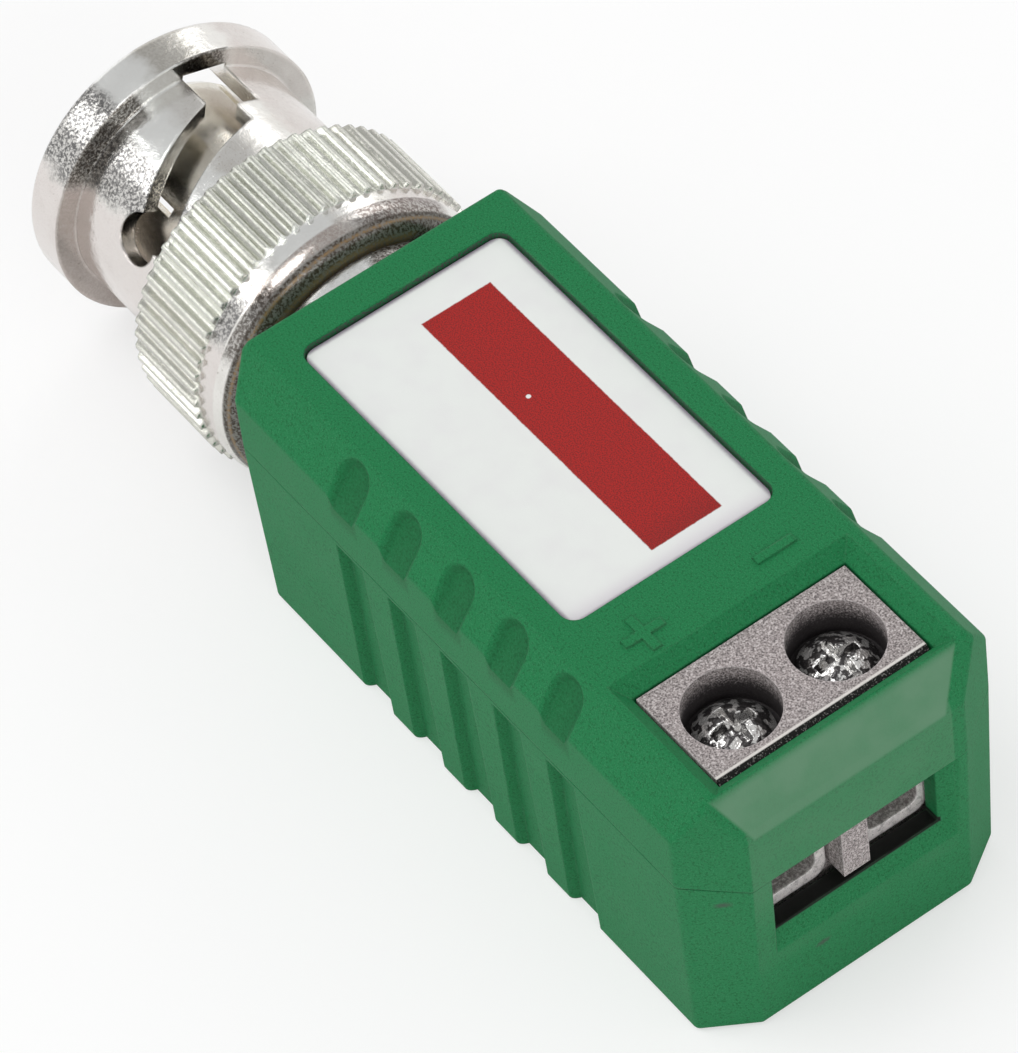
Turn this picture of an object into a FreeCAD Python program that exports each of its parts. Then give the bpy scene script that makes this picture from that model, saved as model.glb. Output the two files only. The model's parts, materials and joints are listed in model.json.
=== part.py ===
import FreeCAD, Part
import Sketcher
import math
import os

Vector = FreeCAD.Vector
FULL_TURN = 360
QUARTER_TURN = 90
MITRED = 1

# A two-wire video balun: a coaxial bayonet plug on one end, a two-pole screw terminal on the other,
# and a small transformer board between them in a green moulded housing.
# Frame: X runs from the plug (minus) to the terminals (plus), Z is up, the underside lies on Z = 0,
# and the origin is the centre of the underside. All sizes are in millimetres and degrees.

SIZES = [
    ("housing_length", 32.3, "green housing along X"),
    ("housing_width", 15.4, "green housing along Y"),
    ("housing_height", 14.8, "underside to flat top"),
    ("corner_along", 1.55, "upright corner bevel, along X"),
    ("corner_across", 2.4, "upright corner bevel, along Y"),
    ("side_roof_inset", 1.35, "long top bevel, along Y"),
    ("side_roof_drop", 2.05, "long top bevel, along Z"),
    ("end_roof_inset", 0.9, "end top bevel, along X"),
    ("end_roof_drop", 2.65, "end top bevel, along Z"),
    ("side_parting", 9.85, "height of the joint between the shells on the sides and back"),
    ("front_parting", 9.0, "height of the joint across the front face"),
    ("step_lead", 0.15, "upright corner edge to the start of the joint's slope"),
    ("wall", 1.3, "moulded wall of the shells"),
    ("overcut", 1.0, "how far a cut runs past what it cuts"),
    ("floor_wall", 1.1, "moulded floor of the lower shell"),
    ("roof_wall", 1.2, "moulded roof of the upper shell"),
    ("draft", 1.4, "lean of the lower shell's walls"),
    ("shell_gap", 0.04, "clearance between the two shells where they fit together"),
    ("tongue_length", 18.0, "locating tongue under the upper shell"),
    ("tongue_thickness", 0.7, "locating tongue"),
    ("tongue_depth", 1.2, "locating tongue below the joint"),
    ("tongue_gap", 0.06, "tongue to the wall that it locates on"),
    ("groove_count", 5, "grip grooves on each long side"),
    ("groove_pitch", 3.55, "grip grooves, centre to centre"),
    ("groove_depth", 0.45, "grip groove into the wall"),
    ("groove_floor", 1.4, "flat floor of a grip groove"),
    ("groove_lean", 0.22, "how far a grip groove's wall leans out over its depth"),
    ("groove_margin", 0.2, "joint between the shells to the top of a grip groove"),
    ("scoop_width", 2.0, "rounded scoop where a groove runs onto the top bevel"),
    ("scoop_rise", 2.3, "scoop's top end, up the bevel from its lower edge"),
    ("scoop_tail", 1.6, "scoop's tail, down from the bevel's lower edge"),
    ("scoop_depth", 0.32, "scoop into the bevel"),
    ("scoop_lean", 48.0, "slope of the scoop's rim"),
    ("edge_round", 0.35, "rounded outer edges of the shells"),
    ("label_length", 18.3, "printed label along X"),
    ("label_width", 10.0, "printed label along Y"),
    ("label_thickness", 0.12, "printed label"),
    ("label_corner", 0.6, "corner radius of the label"),
    ("label_gap", 0.1, "label to the rim of its recess"),
    ("label_recess", 0.4, "depth of the label's recess"),
    ("label_setback", 2.83, "back face of the housing to the label"),
    ("mark_height", 0.1, "raised polarity marks"),
    ("mark_length", 1.9, "stroke of a polarity mark"),
    ("mark_stroke", 0.42, "width of a stroke"),
    ("mark_setback", 8.95, "front face of the housing to the marks"),
    ("mark_spread", 3.2, "marks to the middle line"),
    ("pitch", 5.08, "terminal pole to pole"),
    ("block_setback", 1.7, "front face of the housing to the terminal block"),
    ("block_neck", 5.3, "raised screw part of the terminal block along X"),
    ("block_depth", 8.0, "terminal block along X at its foot"),
    ("block_step", 10.6, "height of the terminal block's low back part"),
    ("block_edge", 0.22, "bevelled top edge at the block's front"),
    ("block_gap", 0.12, "terminal block to the opening in the roof"),
    ("block_bevel", 0.65, "bevelled rim round the terminal block's opening"),
    ("block_bevel_slope", 45.0, "slope of that rim"),
    ("screw_setback", 2.6, "block's front to the screw axes"),
    ("screw_well", 4.0, "bore that the screw head sits in"),
    ("screw_seat", 12.2, "height of the seat under the screw heads"),
    ("screw_head", 3.4, "screw head across"),
    ("screw_head_height", 1.1, "screw head along Z"),
    ("screw_shank", 2.5, "screw thread across"),
    ("screw_play", 0.06, "radial running clearance round the screw thread"),
    ("slot_width", 0.55, "arm of the cross recess"),
    ("slot_length", 2.1, "cross recess from end to end"),
    ("slot_depth", 0.6, "cross recess"),
    ("slot_taper", 12.0, "taper of the cross recess"),
    ("chamber_width", 3.8, "wire chamber along Y"),
    ("nose_reach", 1.25, "block's front to the end of the divider between the wire chambers"),
    ("nose_low", 5.6, "height of the divider's underside"),
    ("nose_high", 8.9, "height of the divider's top"),
    ("chamber_depth", 6.9, "wire chamber along X"),
    ("chamber_floor", 5.0, "height of the wire chamber's floor"),
    ("chamber_top", 11.4, "height of the wire chamber's ceiling"),
    ("cage_width", 3.5, "rising cage along Y"),
    ("cage_length", 5.7, "rising cage along X"),
    ("cage_rest", 5.15, "height of the cage's underside with the clamp open"),
    ("cage_height", 4.65, "rising cage along Z"),
    ("cage_sheet", 0.5, "side walls of the cage"),
    ("cage_floor", 0.6, "floor of the cage"),
    ("cage_nut", 0.8, "tapped top of the cage"),
    ("cage_corner", 0.7, "rounded lower corners of the cage"),
    ("bar_width", 2.2, "current bar along Y"),
    ("bar_thickness", 0.7, "current bar along Z"),
    ("bar_top", 8.6, "height of the current bar's top"),
    ("bar_setback", 0.85, "block's front to the end of the current bar"),
    ("pin_width", 1.0, "solder pin along Y"),
    ("pin_end", 1.4, "height of the solder pins' tips"),
    ("pin_gap", 0.1, "clearance round the solder pins"),
    ("window_half_near", 4.3, "wire window, middle line to the edge on the minus Y side"),
    ("window_half_far", 4.05, "wire window, middle line to the edge on the plus Y side"),
    ("window_floor", 5.15, "height of the wire window's sill"),
    ("window_flare_far", 0.9, "window bevel along Y"),
    ("window_flare_low", 1.35, "window bevel along Z"),
    ("window_flare_depth", 0.55, "window bevel into the wall"),
    ("board_clearance", 1.35, "plug body's solder end to the circuit board"),
    ("board_width", 11.4, "circuit board along Y"),
    ("board_thickness", 1.4, "circuit board"),
    ("board_top", 3.4, "height of the circuit board's top"),
    ("board_setback", 2.55, "front face of the housing to the circuit board"),
    ("post_width", 1.6, "board posts in the lower shell"),
    ("plug_axis", 7.4, "height of the plug's axis"),
    ("neck_width", 8.4, "square neck of the plug body in the back wall"),
    ("neck_gap", 0.05, "neck to the opening in the back wall"),
    ("collar_gap", 0.1, "back wall to the collars on each side of it"),
    ("body_collar", 5.8, "radius of the collar outside the housing"),
    ("inner_collar_radius", 5.0, "radius of the collar inside the housing"),
    ("outer_collar", 0.85, "collar outside the housing, along X"),
    ("inner_collar", 1.2, "collar inside the housing, along X"),
    ("rear_boss", 3.0, "radius of the plug body's solder end"),
    ("rear_boss_length", 1.2, "solder end, along X"),
    ("bearing_radius", 4.8, "radius of the plug body where the nut turns on it"),
    ("bearing_play", 0.08, "radial running clearance of the nut"),
    ("nut_play", 0.1, "nut's back end to the outer collar"),
    ("nut_length", 15.2, "coupling nut along X"),
    ("nut_lip", 1.1, "inward lip at the nut's back end"),
    ("nut_lip_radius", 6.0, "radius of the nut's back end"),
    ("flange_radius", 6.7, "front flange of the nut"),
    ("flange_length", 2.1, "front flange along X"),
    ("flange_round", 0.35, "rounded front edge of the flange"),
    ("barrel_radius", 5.7, "reduced barrel behind the flange"),
    ("knurl_radius", 7.2, "crests of the knurl"),
    ("knurl_length", 4.58, "knurled ring along X"),
    ("knurl_count", 60, "ridges round the knurl"),
    ("knurl_depth", 0.3, "crest to root of the knurl"),
    ("knurl_root", 0.24, "flat root between two ridges"),
    ("knurl_mouth", 0.56, "gap between two ridges at their crests"),
    ("knurl_bevel", 0.25, "bevel at the ends of the knurl"),
    ("nut_collar_radius", 6.92, "smooth ring behind the knurl"),
    ("nut_collar_length", 0.9, "smooth ring along X"),
    ("nut_shoulder_length", 1.18, "rounded shoulder behind the smooth ring, along X"),
    ("nut_shoulder", 1.2, "radius of the rounded shoulder"),
    ("nut_bore", 4.9, "radius of the nut's bore"),
    ("nut_bore_bevel", 0.3, "bevel at the mouth of the bore"),
    ("spring_room", 6.1, "radius of the space for the spring in the nut"),
    ("spring_room_length", 5.0, "space for the spring along X, from the nut's back lip"),
    ("track_width", 2.2, "bayonet track"),
    ("track_count", 2, "bayonet tracks round the nut"),
    ("track_start", 4.55, "front face to the middle of the track where its turn starts"),
    ("track_rise", 2.65, "how far the track runs back over its turn"),
    ("track_turn", 75.5, "angle that the track turns through"),
    ("track_angle", 72.5, "angle of the track's entry from plus Y"),
    ("track_root", 5.8, "radius that the entry is cut out to"),
    ("detent_radius", 1.15, "round notch at the end of the track"),
    ("detent_shift", 1.1, "how far the notch steps back towards the front"),
    ("washer_radius", 5.9, "outer radius of the washers and the retaining ring"),
    ("washer_gap", 0.05, "clearance between the parts of the spring stack"),
    ("thrust_thickness", 0.4, "thrust washer"),
    ("nut_travel", 0.5, "how far the nut can be pulled forward against the spring"),
    ("wave_height", 0.85, "wave washer from crest to crest"),
    ("wave_thickness", 0.25, "wave washer's strip"),
    ("wave_count", 3, "waves round the washer"),
    ("ring_thickness", 0.8, "retaining ring"),
    ("ring_groove", 4.3, "radius of the groove that the retaining ring sits in"),
    ("ring_gap_angle", 30.0, "open part of the retaining ring"),
    ("body_nose", 3.2, "plug body ahead of the retaining ring's groove"),
    ("gasket_thickness", 0.8, "rubber gasket on the front shoulder"),
    ("gasket_radius", 4.7, "rubber gasket"),
    ("gasket_gap", 0.05, "clearance round the gasket and the contact's foot"),
    ("contact_radius", 4.05, "outer contact sleeve"),
    ("contact_wall", 0.55, "outer contact sleeve"),
    ("contact_foot_radius", 4.25, "outer contact behind the gasket's front face"),
    ("contact_setback", 0.5, "nut's front face to the end of the outer contact"),
    ("contact_foot", 1.7, "outer contact's foot in the plug body"),
    ("contact_slot", 0.45, "slots in the outer contact"),
    ("contact_slot_length", 5.2, "slots in the outer contact"),
    ("contact_slot_count", 4, "slots in the outer contact"),
    ("contact_slot_angle", 45.0, "first slot in the outer contact from plus Z"),
    ("insulator_radius", 3.4, "insulator in the plug body"),
    ("insulator_nose", 2.4, "front of the insulator"),
    ("insulator_nose_length", 2.4, "insulator beyond the front shoulder"),
    ("insulator_tail", 2.0, "back of the insulator"),
    ("insulator_gap", 0.05, "clearance round the insulator"),
    ("pin_radius", 0.675, "centre contact"),
    ("pin_shoulder", 1.0, "radius of the centre contact inside the insulator"),
    ("pin_setback", 1.4, "nut's front face to the tip of the centre contact"),
    ("pin_tail", 0.9, "centre contact behind the plug body"),
    ("pin_play", 0.02, "clearance round the centre contact"),
    ("core_radius", 4.3, "ferrite ring core, outside"),
    ("core_bore", 2.3, "ferrite ring core, inside"),
    ("core_height", 3.0, "ferrite ring core"),
    ("core_edge", 0.35, "bevelled edges of the core"),
    ("core_shift", 0.25, "core ahead of the middle between the resistor and the capacitor"),
    ("core_lift", 0.55, "circuit board to the core"),
    ("wire_radius", 0.22, "winding wire"),
    ("wire_gap", 0.06, "winding wire to the core"),
    ("turn_count", 12, "turns round the core"),
    ("disc_radius", 2.2, "ceramic disc capacitor"),
    ("disc_thickness", 1.3, "ceramic disc capacitor"),
    ("disc_setback", 2.05, "terminal block's back to the middle of the capacitor"),
    ("tube_radius", 0.9, "resistor and surge suppressor"),
    ("tube_length", 3.0, "resistor and surge suppressor"),
    ("tube_setback", 2.9, "circuit board's back edge to the resistor and surge suppressor"),
    ("tube_spread", 4.1, "resistor and surge suppressor to the middle line"),
    ("lead_radius", 0.25, "component leads"),
    ("part_gap", 0.15, "circuit board to the parts on it"),
    ("lead_bend", 0.8, "bend radius of the hook-up leads"),
    ("hookup_radius", 0.35, "hook-up leads"),
    ("ground_place", 1.2, "ground lead to the middle line"),
    ("ground_drop", 2.2, "ground lead below the plug's axis"),
]


class Size:
    """A driving size, or a result worked out from some, kept as its number and as its formula."""

    def __init__(self, number, formula):
        self.number = number
        self.formula = formula

    def __add__(self, other):
        return combine(self, other, "+")

    def __radd__(self, other):
        return combine(other, self, "+")

    def __sub__(self, other):
        return combine(self, other, "-")

    def __rsub__(self, other):
        return combine(other, self, "-")

    def __mul__(self, other):
        return combine(self, other, "*")

    def __rmul__(self, other):
        return combine(other, self, "*")

    def __truediv__(self, other):
        return combine(self, other, "/")

    def __neg__(self):
        return combine(0, self, "-")


def as_size(value):
    """A plain number takes part in a formula as itself."""
    if isinstance(value, Size):
        return value
    return Size(float(value), repr(float(value)))


def combine(first, second, sign):
    """Two sizes joined by one sign, in number and in formula."""
    first = as_size(first)
    second = as_size(second)
    results = {
        "+": lambda a, b: a + b,
        "-": lambda a, b: a - b,
        "*": lambda a, b: a * b,
        "/": lambda a, b: a / b,
    }
    number = results[sign](first.number, second.number)
    return Size(number, "(%s %s %s)" % (first.formula, sign, second.formula))


def sine(angle):
    return Size(math.sin(math.radians(angle.number)), "sin(%s)" % angle.formula)


def cosine(angle):
    return Size(math.cos(math.radians(angle.number)), "cos(%s)" % angle.formula)


def tangent(angle):
    return Size(math.tan(math.radians(angle.number)), "tan(%s)" % angle.formula)


def slope(rise, run):
    """The angle of a slope, as a plain number of degrees."""
    ratio = rise / run
    return Size(math.degrees(math.atan(ratio.number)), "(atan(%s) / 1deg)" % ratio.formula)


def fill_sheet(sheet):
    """Write every driving size into the sheet, and give back the sizes by name."""
    sizes = {}
    for row, (name, number, note) in enumerate(SIZES, start=1):
        sheet.set("A%d" % row, name)
        sheet.set("B%d" % row, str(number))
        sheet.set("C%d" % row, note)
        sheet.setAlias("B%d" % row, name)
        sizes[name] = Size(float(number), "Sizes." + name)
    return sizes


def bind(thing, name, size):
    """Tie one property of an object to the sheet."""
    thing.setExpression(name, as_size(size).formula)


def origin_part(body, role):
    """One plane or axis of a body's own origin."""
    return [part for part in body.Origin.OriginFeatures if part.Role == role][0]


def new_body(name, height=None):
    """An empty body, lifted when its own axis isn't on the floor."""
    body = doc.addObject("PartDesign::Body", name)
    body.Label = name
    if height is not None:
        bind(body, "Placement.Base.z", height)
    return body


def place_sketch(body, name, role, shift, turn):
    """An empty sketch on one of the body's origin planes, shifted and turned about its own X axis."""
    sketch = body.newObject("Sketcher::SketchObject", name)
    sketch.AttachmentSupport = [(origin_part(body, role), "")]
    sketch.MapMode = "FlatFace"
    if turn is not None:
        sketch.AttachmentOffset = FreeCAD.Placement(Vector(0, 0, 0), Vector(1, 0, 0), as_size(turn).number)
        bind(sketch, "AttachmentOffset.Rotation.Angle", turn)
    for axis, amount in zip("xyz", shift):
        if isinstance(amount, Size) or amount:
            bind(sketch, "AttachmentOffset.Base." + axis, amount)
    return sketch


def side_curve(start, end, radius):
    """A straight side, or an arc that bulges out (radius over 0) or in (under 0) of the outline."""
    if radius is None:
        return Part.LineSegment(start, end), 1, 2
    chord = end - start
    left = Vector(-chord.y, chord.x, 0).normalize()
    reach = math.sqrt(max(radius.number ** 2 - (chord.Length / 2) ** 2, 0.0))
    bulges_out = radius.number > 0
    centre = (start + end) / 2 + left * (reach if bulges_out else -reach)
    first, last = (start, end) if bulges_out else (end, start)
    first_angle = math.atan2(first.y - centre.y, first.x - centre.x)
    last_angle = math.atan2(last.y - centre.y, last.x - centre.x)
    circle = Part.Circle(centre, Vector(0, 0, 1), abs(radius.number))
    arc = Part.ArcOfCircle(circle, first_angle, last_angle)
    return (arc, 1, 2) if bulges_out else (arc, 2, 1)


def draw_outline(sketch, corners, arcs):
    """One closed outline, drawn anticlockwise, with every corner held to the sheet."""
    corners = [(as_size(across), as_size(up)) for across, up in corners]
    points = [Vector(across.number, up.number, 0) for across, up in corners]
    count = len(points)
    base = sketch.GeometryCount
    curves = [side_curve(points[i], points[(i + 1) % count], arcs.get(i)) for i in range(count)]
    sketch.addGeometry([curve for curve, _, _ in curves], False)
    for i, (_, _, end) in enumerate(curves):
        after = (i + 1) % count
        sketch.addConstraint(Sketcher.Constraint("Coincident", base + i, end, base + after, curves[after][1]))
    for i, (across, up) in enumerate(corners):
        start = curves[i][1]
        for kind, amount in (("DistanceX", across), ("DistanceY", up)):
            rule = Sketcher.Constraint(kind, -1, 1, base + i, start, amount.number)
            number = sketch.addConstraint(rule)
            sketch.setExpression("Constraints[%d]" % number, amount.formula)
        if i in arcs:
            radius = arcs[i] if arcs[i].number > 0 else -arcs[i]
            rule = Sketcher.Constraint("Radius", base + i, radius.number)
            number = sketch.addConstraint(rule)
            sketch.setExpression("Constraints[%d]" % number, radius.formula)


def outline(body, name, role, corners, arcs=None, shift=(0, 0, 0), turn=None):
    """A sketch that holds one closed outline."""
    sketch = place_sketch(body, name, role, shift, turn)
    draw_outline(sketch, corners, arcs or {})
    return sketch


def circle(body, name, role, centre, radius, shift=(0, 0, 0), turn=None):
    """A sketch that holds one circle."""
    sketch = place_sketch(body, name, role, shift, turn)
    across, up = (as_size(amount) for amount in centre)
    radius = as_size(radius)
    middle = Vector(across.number, up.number, 0)
    sketch.addGeometry(Part.Circle(middle, Vector(0, 0, 1), radius.number), False)
    rules = (
        (Sketcher.Constraint("DistanceX", -1, 1, 0, 3, across.number), across),
        (Sketcher.Constraint("DistanceY", -1, 1, 0, 3, up.number), up),
        (Sketcher.Constraint("Radius", 0, radius.number), radius),
    )
    for rule, amount in rules:
        number = sketch.addConstraint(rule)
        sketch.setExpression("Constraints[%d]" % number, amount.formula)
    return sketch


def rectangle(left, right, low, high):
    """The four corners of a rectangle."""
    return [(left, low), (right, low), (right, high), (left, high)]


def extrude(body, kind, name, sketch, length, backwards=False, taper=None, both_ways=False):
    """A pad or a pocket of one sketch. A taper over 0 widens it along the way."""
    feature = body.newObject("PartDesign::" + kind, name)
    feature.Profile = sketch
    bind(feature, "Length", length)
    feature.Reversed = backwards
    if both_ways:
        feature.SideType = "Symmetric"
    if taper is not None:
        bind(feature, "TaperAngle", taper)
    return feature


def pad(body, name, sketch, length, **options):
    return extrude(body, "Pad", name, sketch, length, **options)


def pocket(body, name, sketch, length, **options):
    return extrude(body, "Pocket", name, sketch, length, **options)


def revolve(body, name, sketch, kind="Revolution", axis="X_Axis", angle=None):
    """A sketch turned about one of the body's own axes."""
    feature = body.newObject("PartDesign::" + kind, name)
    feature.Profile = sketch
    feature.ReferenceAxis = (origin_part(body, axis), [""])
    feature.Angle = FULL_TURN
    if angle is not None:
        bind(feature, "Angle", angle)
    return feature


def row_of(body, name, features, axis, count, length):
    """Copies of some features in a straight row."""
    pattern = body.newObject("PartDesign::LinearPattern", name)
    pattern.Originals = features
    pattern.Direction = (origin_part(body, axis), [""])
    bind(pattern, "Occurrences", count)
    bind(pattern, "Length", length)
    body.Tip = pattern
    return pattern


def ring_of(body, name, features, axis, count):
    """Copies of some features evenly round an axis."""
    pattern = body.newObject("PartDesign::PolarPattern", name)
    pattern.Originals = features
    pattern.Axis = (origin_part(body, axis), [""])
    pattern.Angle = FULL_TURN
    bind(pattern, "Occurrences", count)
    body.Tip = pattern
    return pattern


def edges_where(shape, test):
    """The names of the edges whose middle passes a test."""
    names = []
    for number, edge in enumerate(shape.Edges, start=1):
        middle = edge.CenterOfMass
        if test(middle):
            names.append("Edge%d" % number)
    return names


def round_edges(body, name, base, test, radius):
    """Round the edges of a feature that pass a test."""
    doc.recompute()
    fillet = body.newObject("PartDesign::Fillet", name)
    fillet.Base = (base, edges_where(base.Shape, test))
    bind(fillet, "Radius", radius)
    return fillet


doc = FreeCAD.newDocument("video_balun")
sheet = doc.addObject("Spreadsheet::Sheet", "Sizes")
size = fill_sheet(sheet)
doc.recompute()

# Places that several pieces share
half_length = size["housing_length"] / 2
half_width = size["housing_width"] / 2
top = size["housing_height"]
pitch = size["pitch"]
groove_run = size["groove_pitch"] * (size["groove_count"] - 1)
block_front = half_length - size["block_setback"]
block_top = top - size["block_bevel"]
block_half = pitch
neck_back = block_front - size["block_neck"]
screw_place = block_front - size["screw_setback"]
chamber_back = block_front - size["chamber_depth"]
pin_place = chamber_back + size["pin_gap"]
board_front = half_length - size["board_setback"]
board_bottom = size["board_top"] - size["board_thickness"]
block_back = block_front - size["block_depth"]
label_back = -half_length + size["label_setback"]
label_front = label_back + size["label_length"]
past = size["overcut"]
tiny = 0.01

# Places along the plug's axis, from the housing out to the nut's front face
outer_collar_back = -half_length - size["collar_gap"]
outer_collar_front = outer_collar_back - size["outer_collar"]
nut_end = outer_collar_front - size["nut_play"]
nut_front = nut_end - size["nut_length"]
lip_face = nut_end - size["nut_lip"]
inner_collar_front = -half_length + size["wall"] + size["collar_gap"]
inner_collar_back = inner_collar_front + size["inner_collar"]
body_back = inner_collar_back + size["rear_boss_length"]
barrel_front = nut_front + size["flange_length"]
nut_collar_back = nut_end - size["nut_shoulder_length"]
knurl_back = nut_collar_back - size["nut_collar_length"]
knurl_front = knurl_back - size["knurl_length"]
bore_end = lip_face - size["spring_room_length"]
thrust_back = lip_face - size["washer_gap"]
thrust_front = thrust_back - size["thrust_thickness"]
wave_back = thrust_front - size["nut_travel"] - size["washer_gap"]
wave_front = wave_back - size["wave_height"]
ring_back = wave_front - size["washer_gap"]
ring_front = ring_back - size["ring_thickness"]
body_front = ring_front - size["body_nose"]
contact_back = body_front + size["contact_foot"]
contact_front = nut_front + size["contact_setback"]
gasket_front = body_front - size["gasket_thickness"]
insulator_front = body_front - size["insulator_nose_length"]
pin_tip = nut_front + size["pin_setback"]
pin_back = body_back + size["pin_tail"]
board_back = body_back + size["board_clearance"]
tube_place = board_back + size["tube_setback"]
disc_place = block_back - size["disc_setback"]
core_place = (tube_place + disc_place) / 2 + size["core_shift"]


def plan(inset):
    """The housing's eight-sided plan, moved in by an even wall."""
    x = half_length - inset
    y = half_width - inset
    lean = slope(size["corner_across"], size["corner_along"])
    across = size["corner_across"] - inset * (1 - tangent((QUARTER_TURN - lean) / 2))
    along = size["corner_along"] - inset * (1 - tangent(lean / 2))
    return [
        (x - along, -y),
        (x, across - y),
        (x, y - across),
        (x - along, y),
        (along - x, y),
        (-x, y - across),
        (-x, across - y),
        (along - x, -y),
    ]


def groove_section(side):
    """The section of one grip groove on the side at plus or minus Y, with leaning walls."""
    depth = size["groove_depth"]
    floor = size["groove_floor"] / 2
    mouth = floor + 2 * size["groove_lean"]
    first = -groove_run / 2
    outer = (half_width + depth) * side
    inner = (half_width - depth) * side
    corners = [
        (first + mouth, outer),
        (first + floor, inner),
        (first - floor, inner),
        (first - mouth, outer),
    ]
    return corners if side > 0 else corners[::-1]


def cut_grooves(body, name, side, level, depth):
    """A row of upright grip grooves below a level."""
    section = outline(body, name + "_section", "XY_Plane", groove_section(side), shift=(0, 0, level))
    groove = pocket(body, name, section, depth, taper=size["draft"])
    return row_of(body, name + "_row", [groove], "X_Axis", size["groove_count"], groove_run)


def cut_scoops(body, name, side):
    """A row of rounded scoops that carry the grooves onto the long top bevel."""
    lean = slope(size["side_roof_drop"], size["side_roof_inset"])
    turn = lean if side < 0 else 180 - lean
    first = -groove_run / 2
    half = size["scoop_width"] / 2
    tail = -size["scoop_tail"]
    crest = size["scoop_rise"]
    corners = [
        (first - half, tail),
        (first + half, tail),
        (first + half, crest - half),
        (first, crest),
        (first - half, crest - half),
    ]
    shift = (0, half_width * side, top - size["side_roof_drop"])
    section = outline(body, name + "_outline", "XY_Plane", corners, {2: half, 3: half}, shift, turn)
    scoop = pocket(
        body, name, section, size["scoop_depth"], backwards=side > 0, taper=-size["scoop_lean"]
    )
    return row_of(body, name + "_row", [scoop], "X_Axis", size["groove_count"], groove_run)


def front_step():
    """The part of the joint line that steps down across the front, seen from the front."""
    inner = half_width - size["corner_across"] - size["step_lead"]
    low = size["front_parting"]
    high = size["side_parting"]
    return [(-half_width, high), (-inner, low), (inner, low), (half_width, high)]


def make_lower_shell():
    """The deep lower tray: drafted walls, grip grooves, wire window, plug opening and board posts."""
    body = new_body("lower_shell")
    parting = size["side_parting"]
    tray = outline(body, "tray_plan", "XY_Plane", plan(0), shift=(0, 0, parting))
    blank = pad(body, "tray", tray, parting, backwards=True, taper=-size["draft"])
    rim = parting.number - tiny
    round_edges(body, "tray_edges", blank, lambda middle: middle.z < rim, size["edge_round"])
    hollow = outline(body, "hollow_plan", "XY_Plane", plan(size["wall"]), shift=(0, 0, parting))
    pocket(body, "hollow", hollow, parting - size["floor_wall"])
    step = outline(body, "step_outline", "YZ_Plane", front_step(), shift=(0, 0, half_length))
    pocket(body, "step", step, 2 * size["corner_along"], both_ways=True)
    near = -size["window_half_near"]
    far = size["window_half_far"]
    sill = size["window_floor"]
    window = outline(
        body, "window_outline", "YZ_Plane", rectangle(near, far, sill, parting), shift=(0, 0, half_length)
    )
    pocket(body, "window", window, 2 * size["wall"] + past, both_ways=True)
    cut_window_flare(body, near, far, sill)
    cut_plug_opening(body, size["plug_axis"] - size["neck_width"] / 2 - size["neck_gap"], parting + past)
    cut_grooves(body, "groove_near", -1, parting - size["groove_margin"], parting)
    cut_grooves(body, "groove_far", 1, parting - size["groove_margin"], parting)
    add_posts(body)
    return body


def cut_window_flare(body, near, far, sill):
    """The sloped rim below and beside the wire window, cut from a small outline to a large one."""
    depth = size["window_flare_depth"]
    high = size["side_parting"]
    wide = size["window_flare_far"]
    low = size["window_flare_low"]
    inner = outline(
        body, "flare_inner", "YZ_Plane", rectangle(near, far, sill, high), shift=(0, 0, half_length - depth)
    )
    outer = outline(
        body, "flare_outer", "YZ_Plane", rectangle(near, far + 2 * wide, sill - 2 * low, high),
        shift=(0, 0, half_length + depth),
    )
    flare = body.newObject("PartDesign::SubtractiveLoft", "window_flare")
    flare.Profile = inner
    flare.Sections = [outer]
    flare.Ruled = True
    return flare


def cut_plug_opening(body, low, high):
    """The opening in the back wall for the plug body's square neck."""
    half = size["neck_width"] / 2 + size["neck_gap"]
    neck = outline(body, "neck_outline", "YZ_Plane", rectangle(-half, half, low, high), shift=(0, 0, -half_length))
    return pocket(body, "neck_opening", neck, 2 * size["wall"] + past, both_ways=True)


def add_posts(body):
    """Four posts that the circuit board rests on."""
    half = size["post_width"] / 2
    x = board_back + size["post_width"]
    middle = (board_back + board_front) / 2 + size["post_width"]
    y = size["board_width"] / 2 - size["post_width"]
    foot = size["floor_wall"]
    places = [(x, y), (x, -y), (middle, y), (middle, -y)]
    for number, (along, across) in enumerate(places, start=1):
        post = outline(
            body, "post_plan_%d" % number, "XY_Plane",
            rectangle(along - half, along + half, across - half, across + half), shift=(0, 0, foot),
        )
        pad(body, "post_%d" % number, post, board_bottom - foot)


def make_upper_shell():
    """The roof shell: bevelled top, label recess, terminal opening, scoops and polarity marks."""
    body = new_body("upper_shell")
    low = size["front_parting"]
    roof = outline(body, "roof_plan", "XY_Plane", plan(0), shift=(0, 0, low))
    pad(body, "roof", roof, top - low)
    cut_below_joint(body)
    blank = cut_roof_bevels(body)
    rim = size["side_parting"].number + size["shell_gap"].number + tiny
    round_edges(body, "roof_edges", blank, lambda middle: middle.z > rim, size["edge_round"])
    eaves = top - size["side_roof_drop"]
    hollow = outline(body, "hollow_plan", "XY_Plane", plan(size["wall"]), shift=(0, 0, low))
    pocket(body, "hollow", hollow, eaves - low, backwards=True)
    crown = outline(
        body, "crown_plan", "XY_Plane", plan(size["wall"] + size["side_roof_inset"]), shift=(0, 0, low)
    )
    pocket(body, "crown", crown, top - size["roof_wall"] - low, backwards=True)
    cut_plug_opening(body, low - past, size["plug_axis"] + size["neck_width"] / 2 + size["neck_gap"])
    add_tongues(body)
    cut_scoops(body, "scoop_near", -1)
    cut_scoops(body, "scoop_far", 1)
    cut_terminal_opening(body)
    cut_label_recess(body)
    add_marks(body)
    return body


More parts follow.
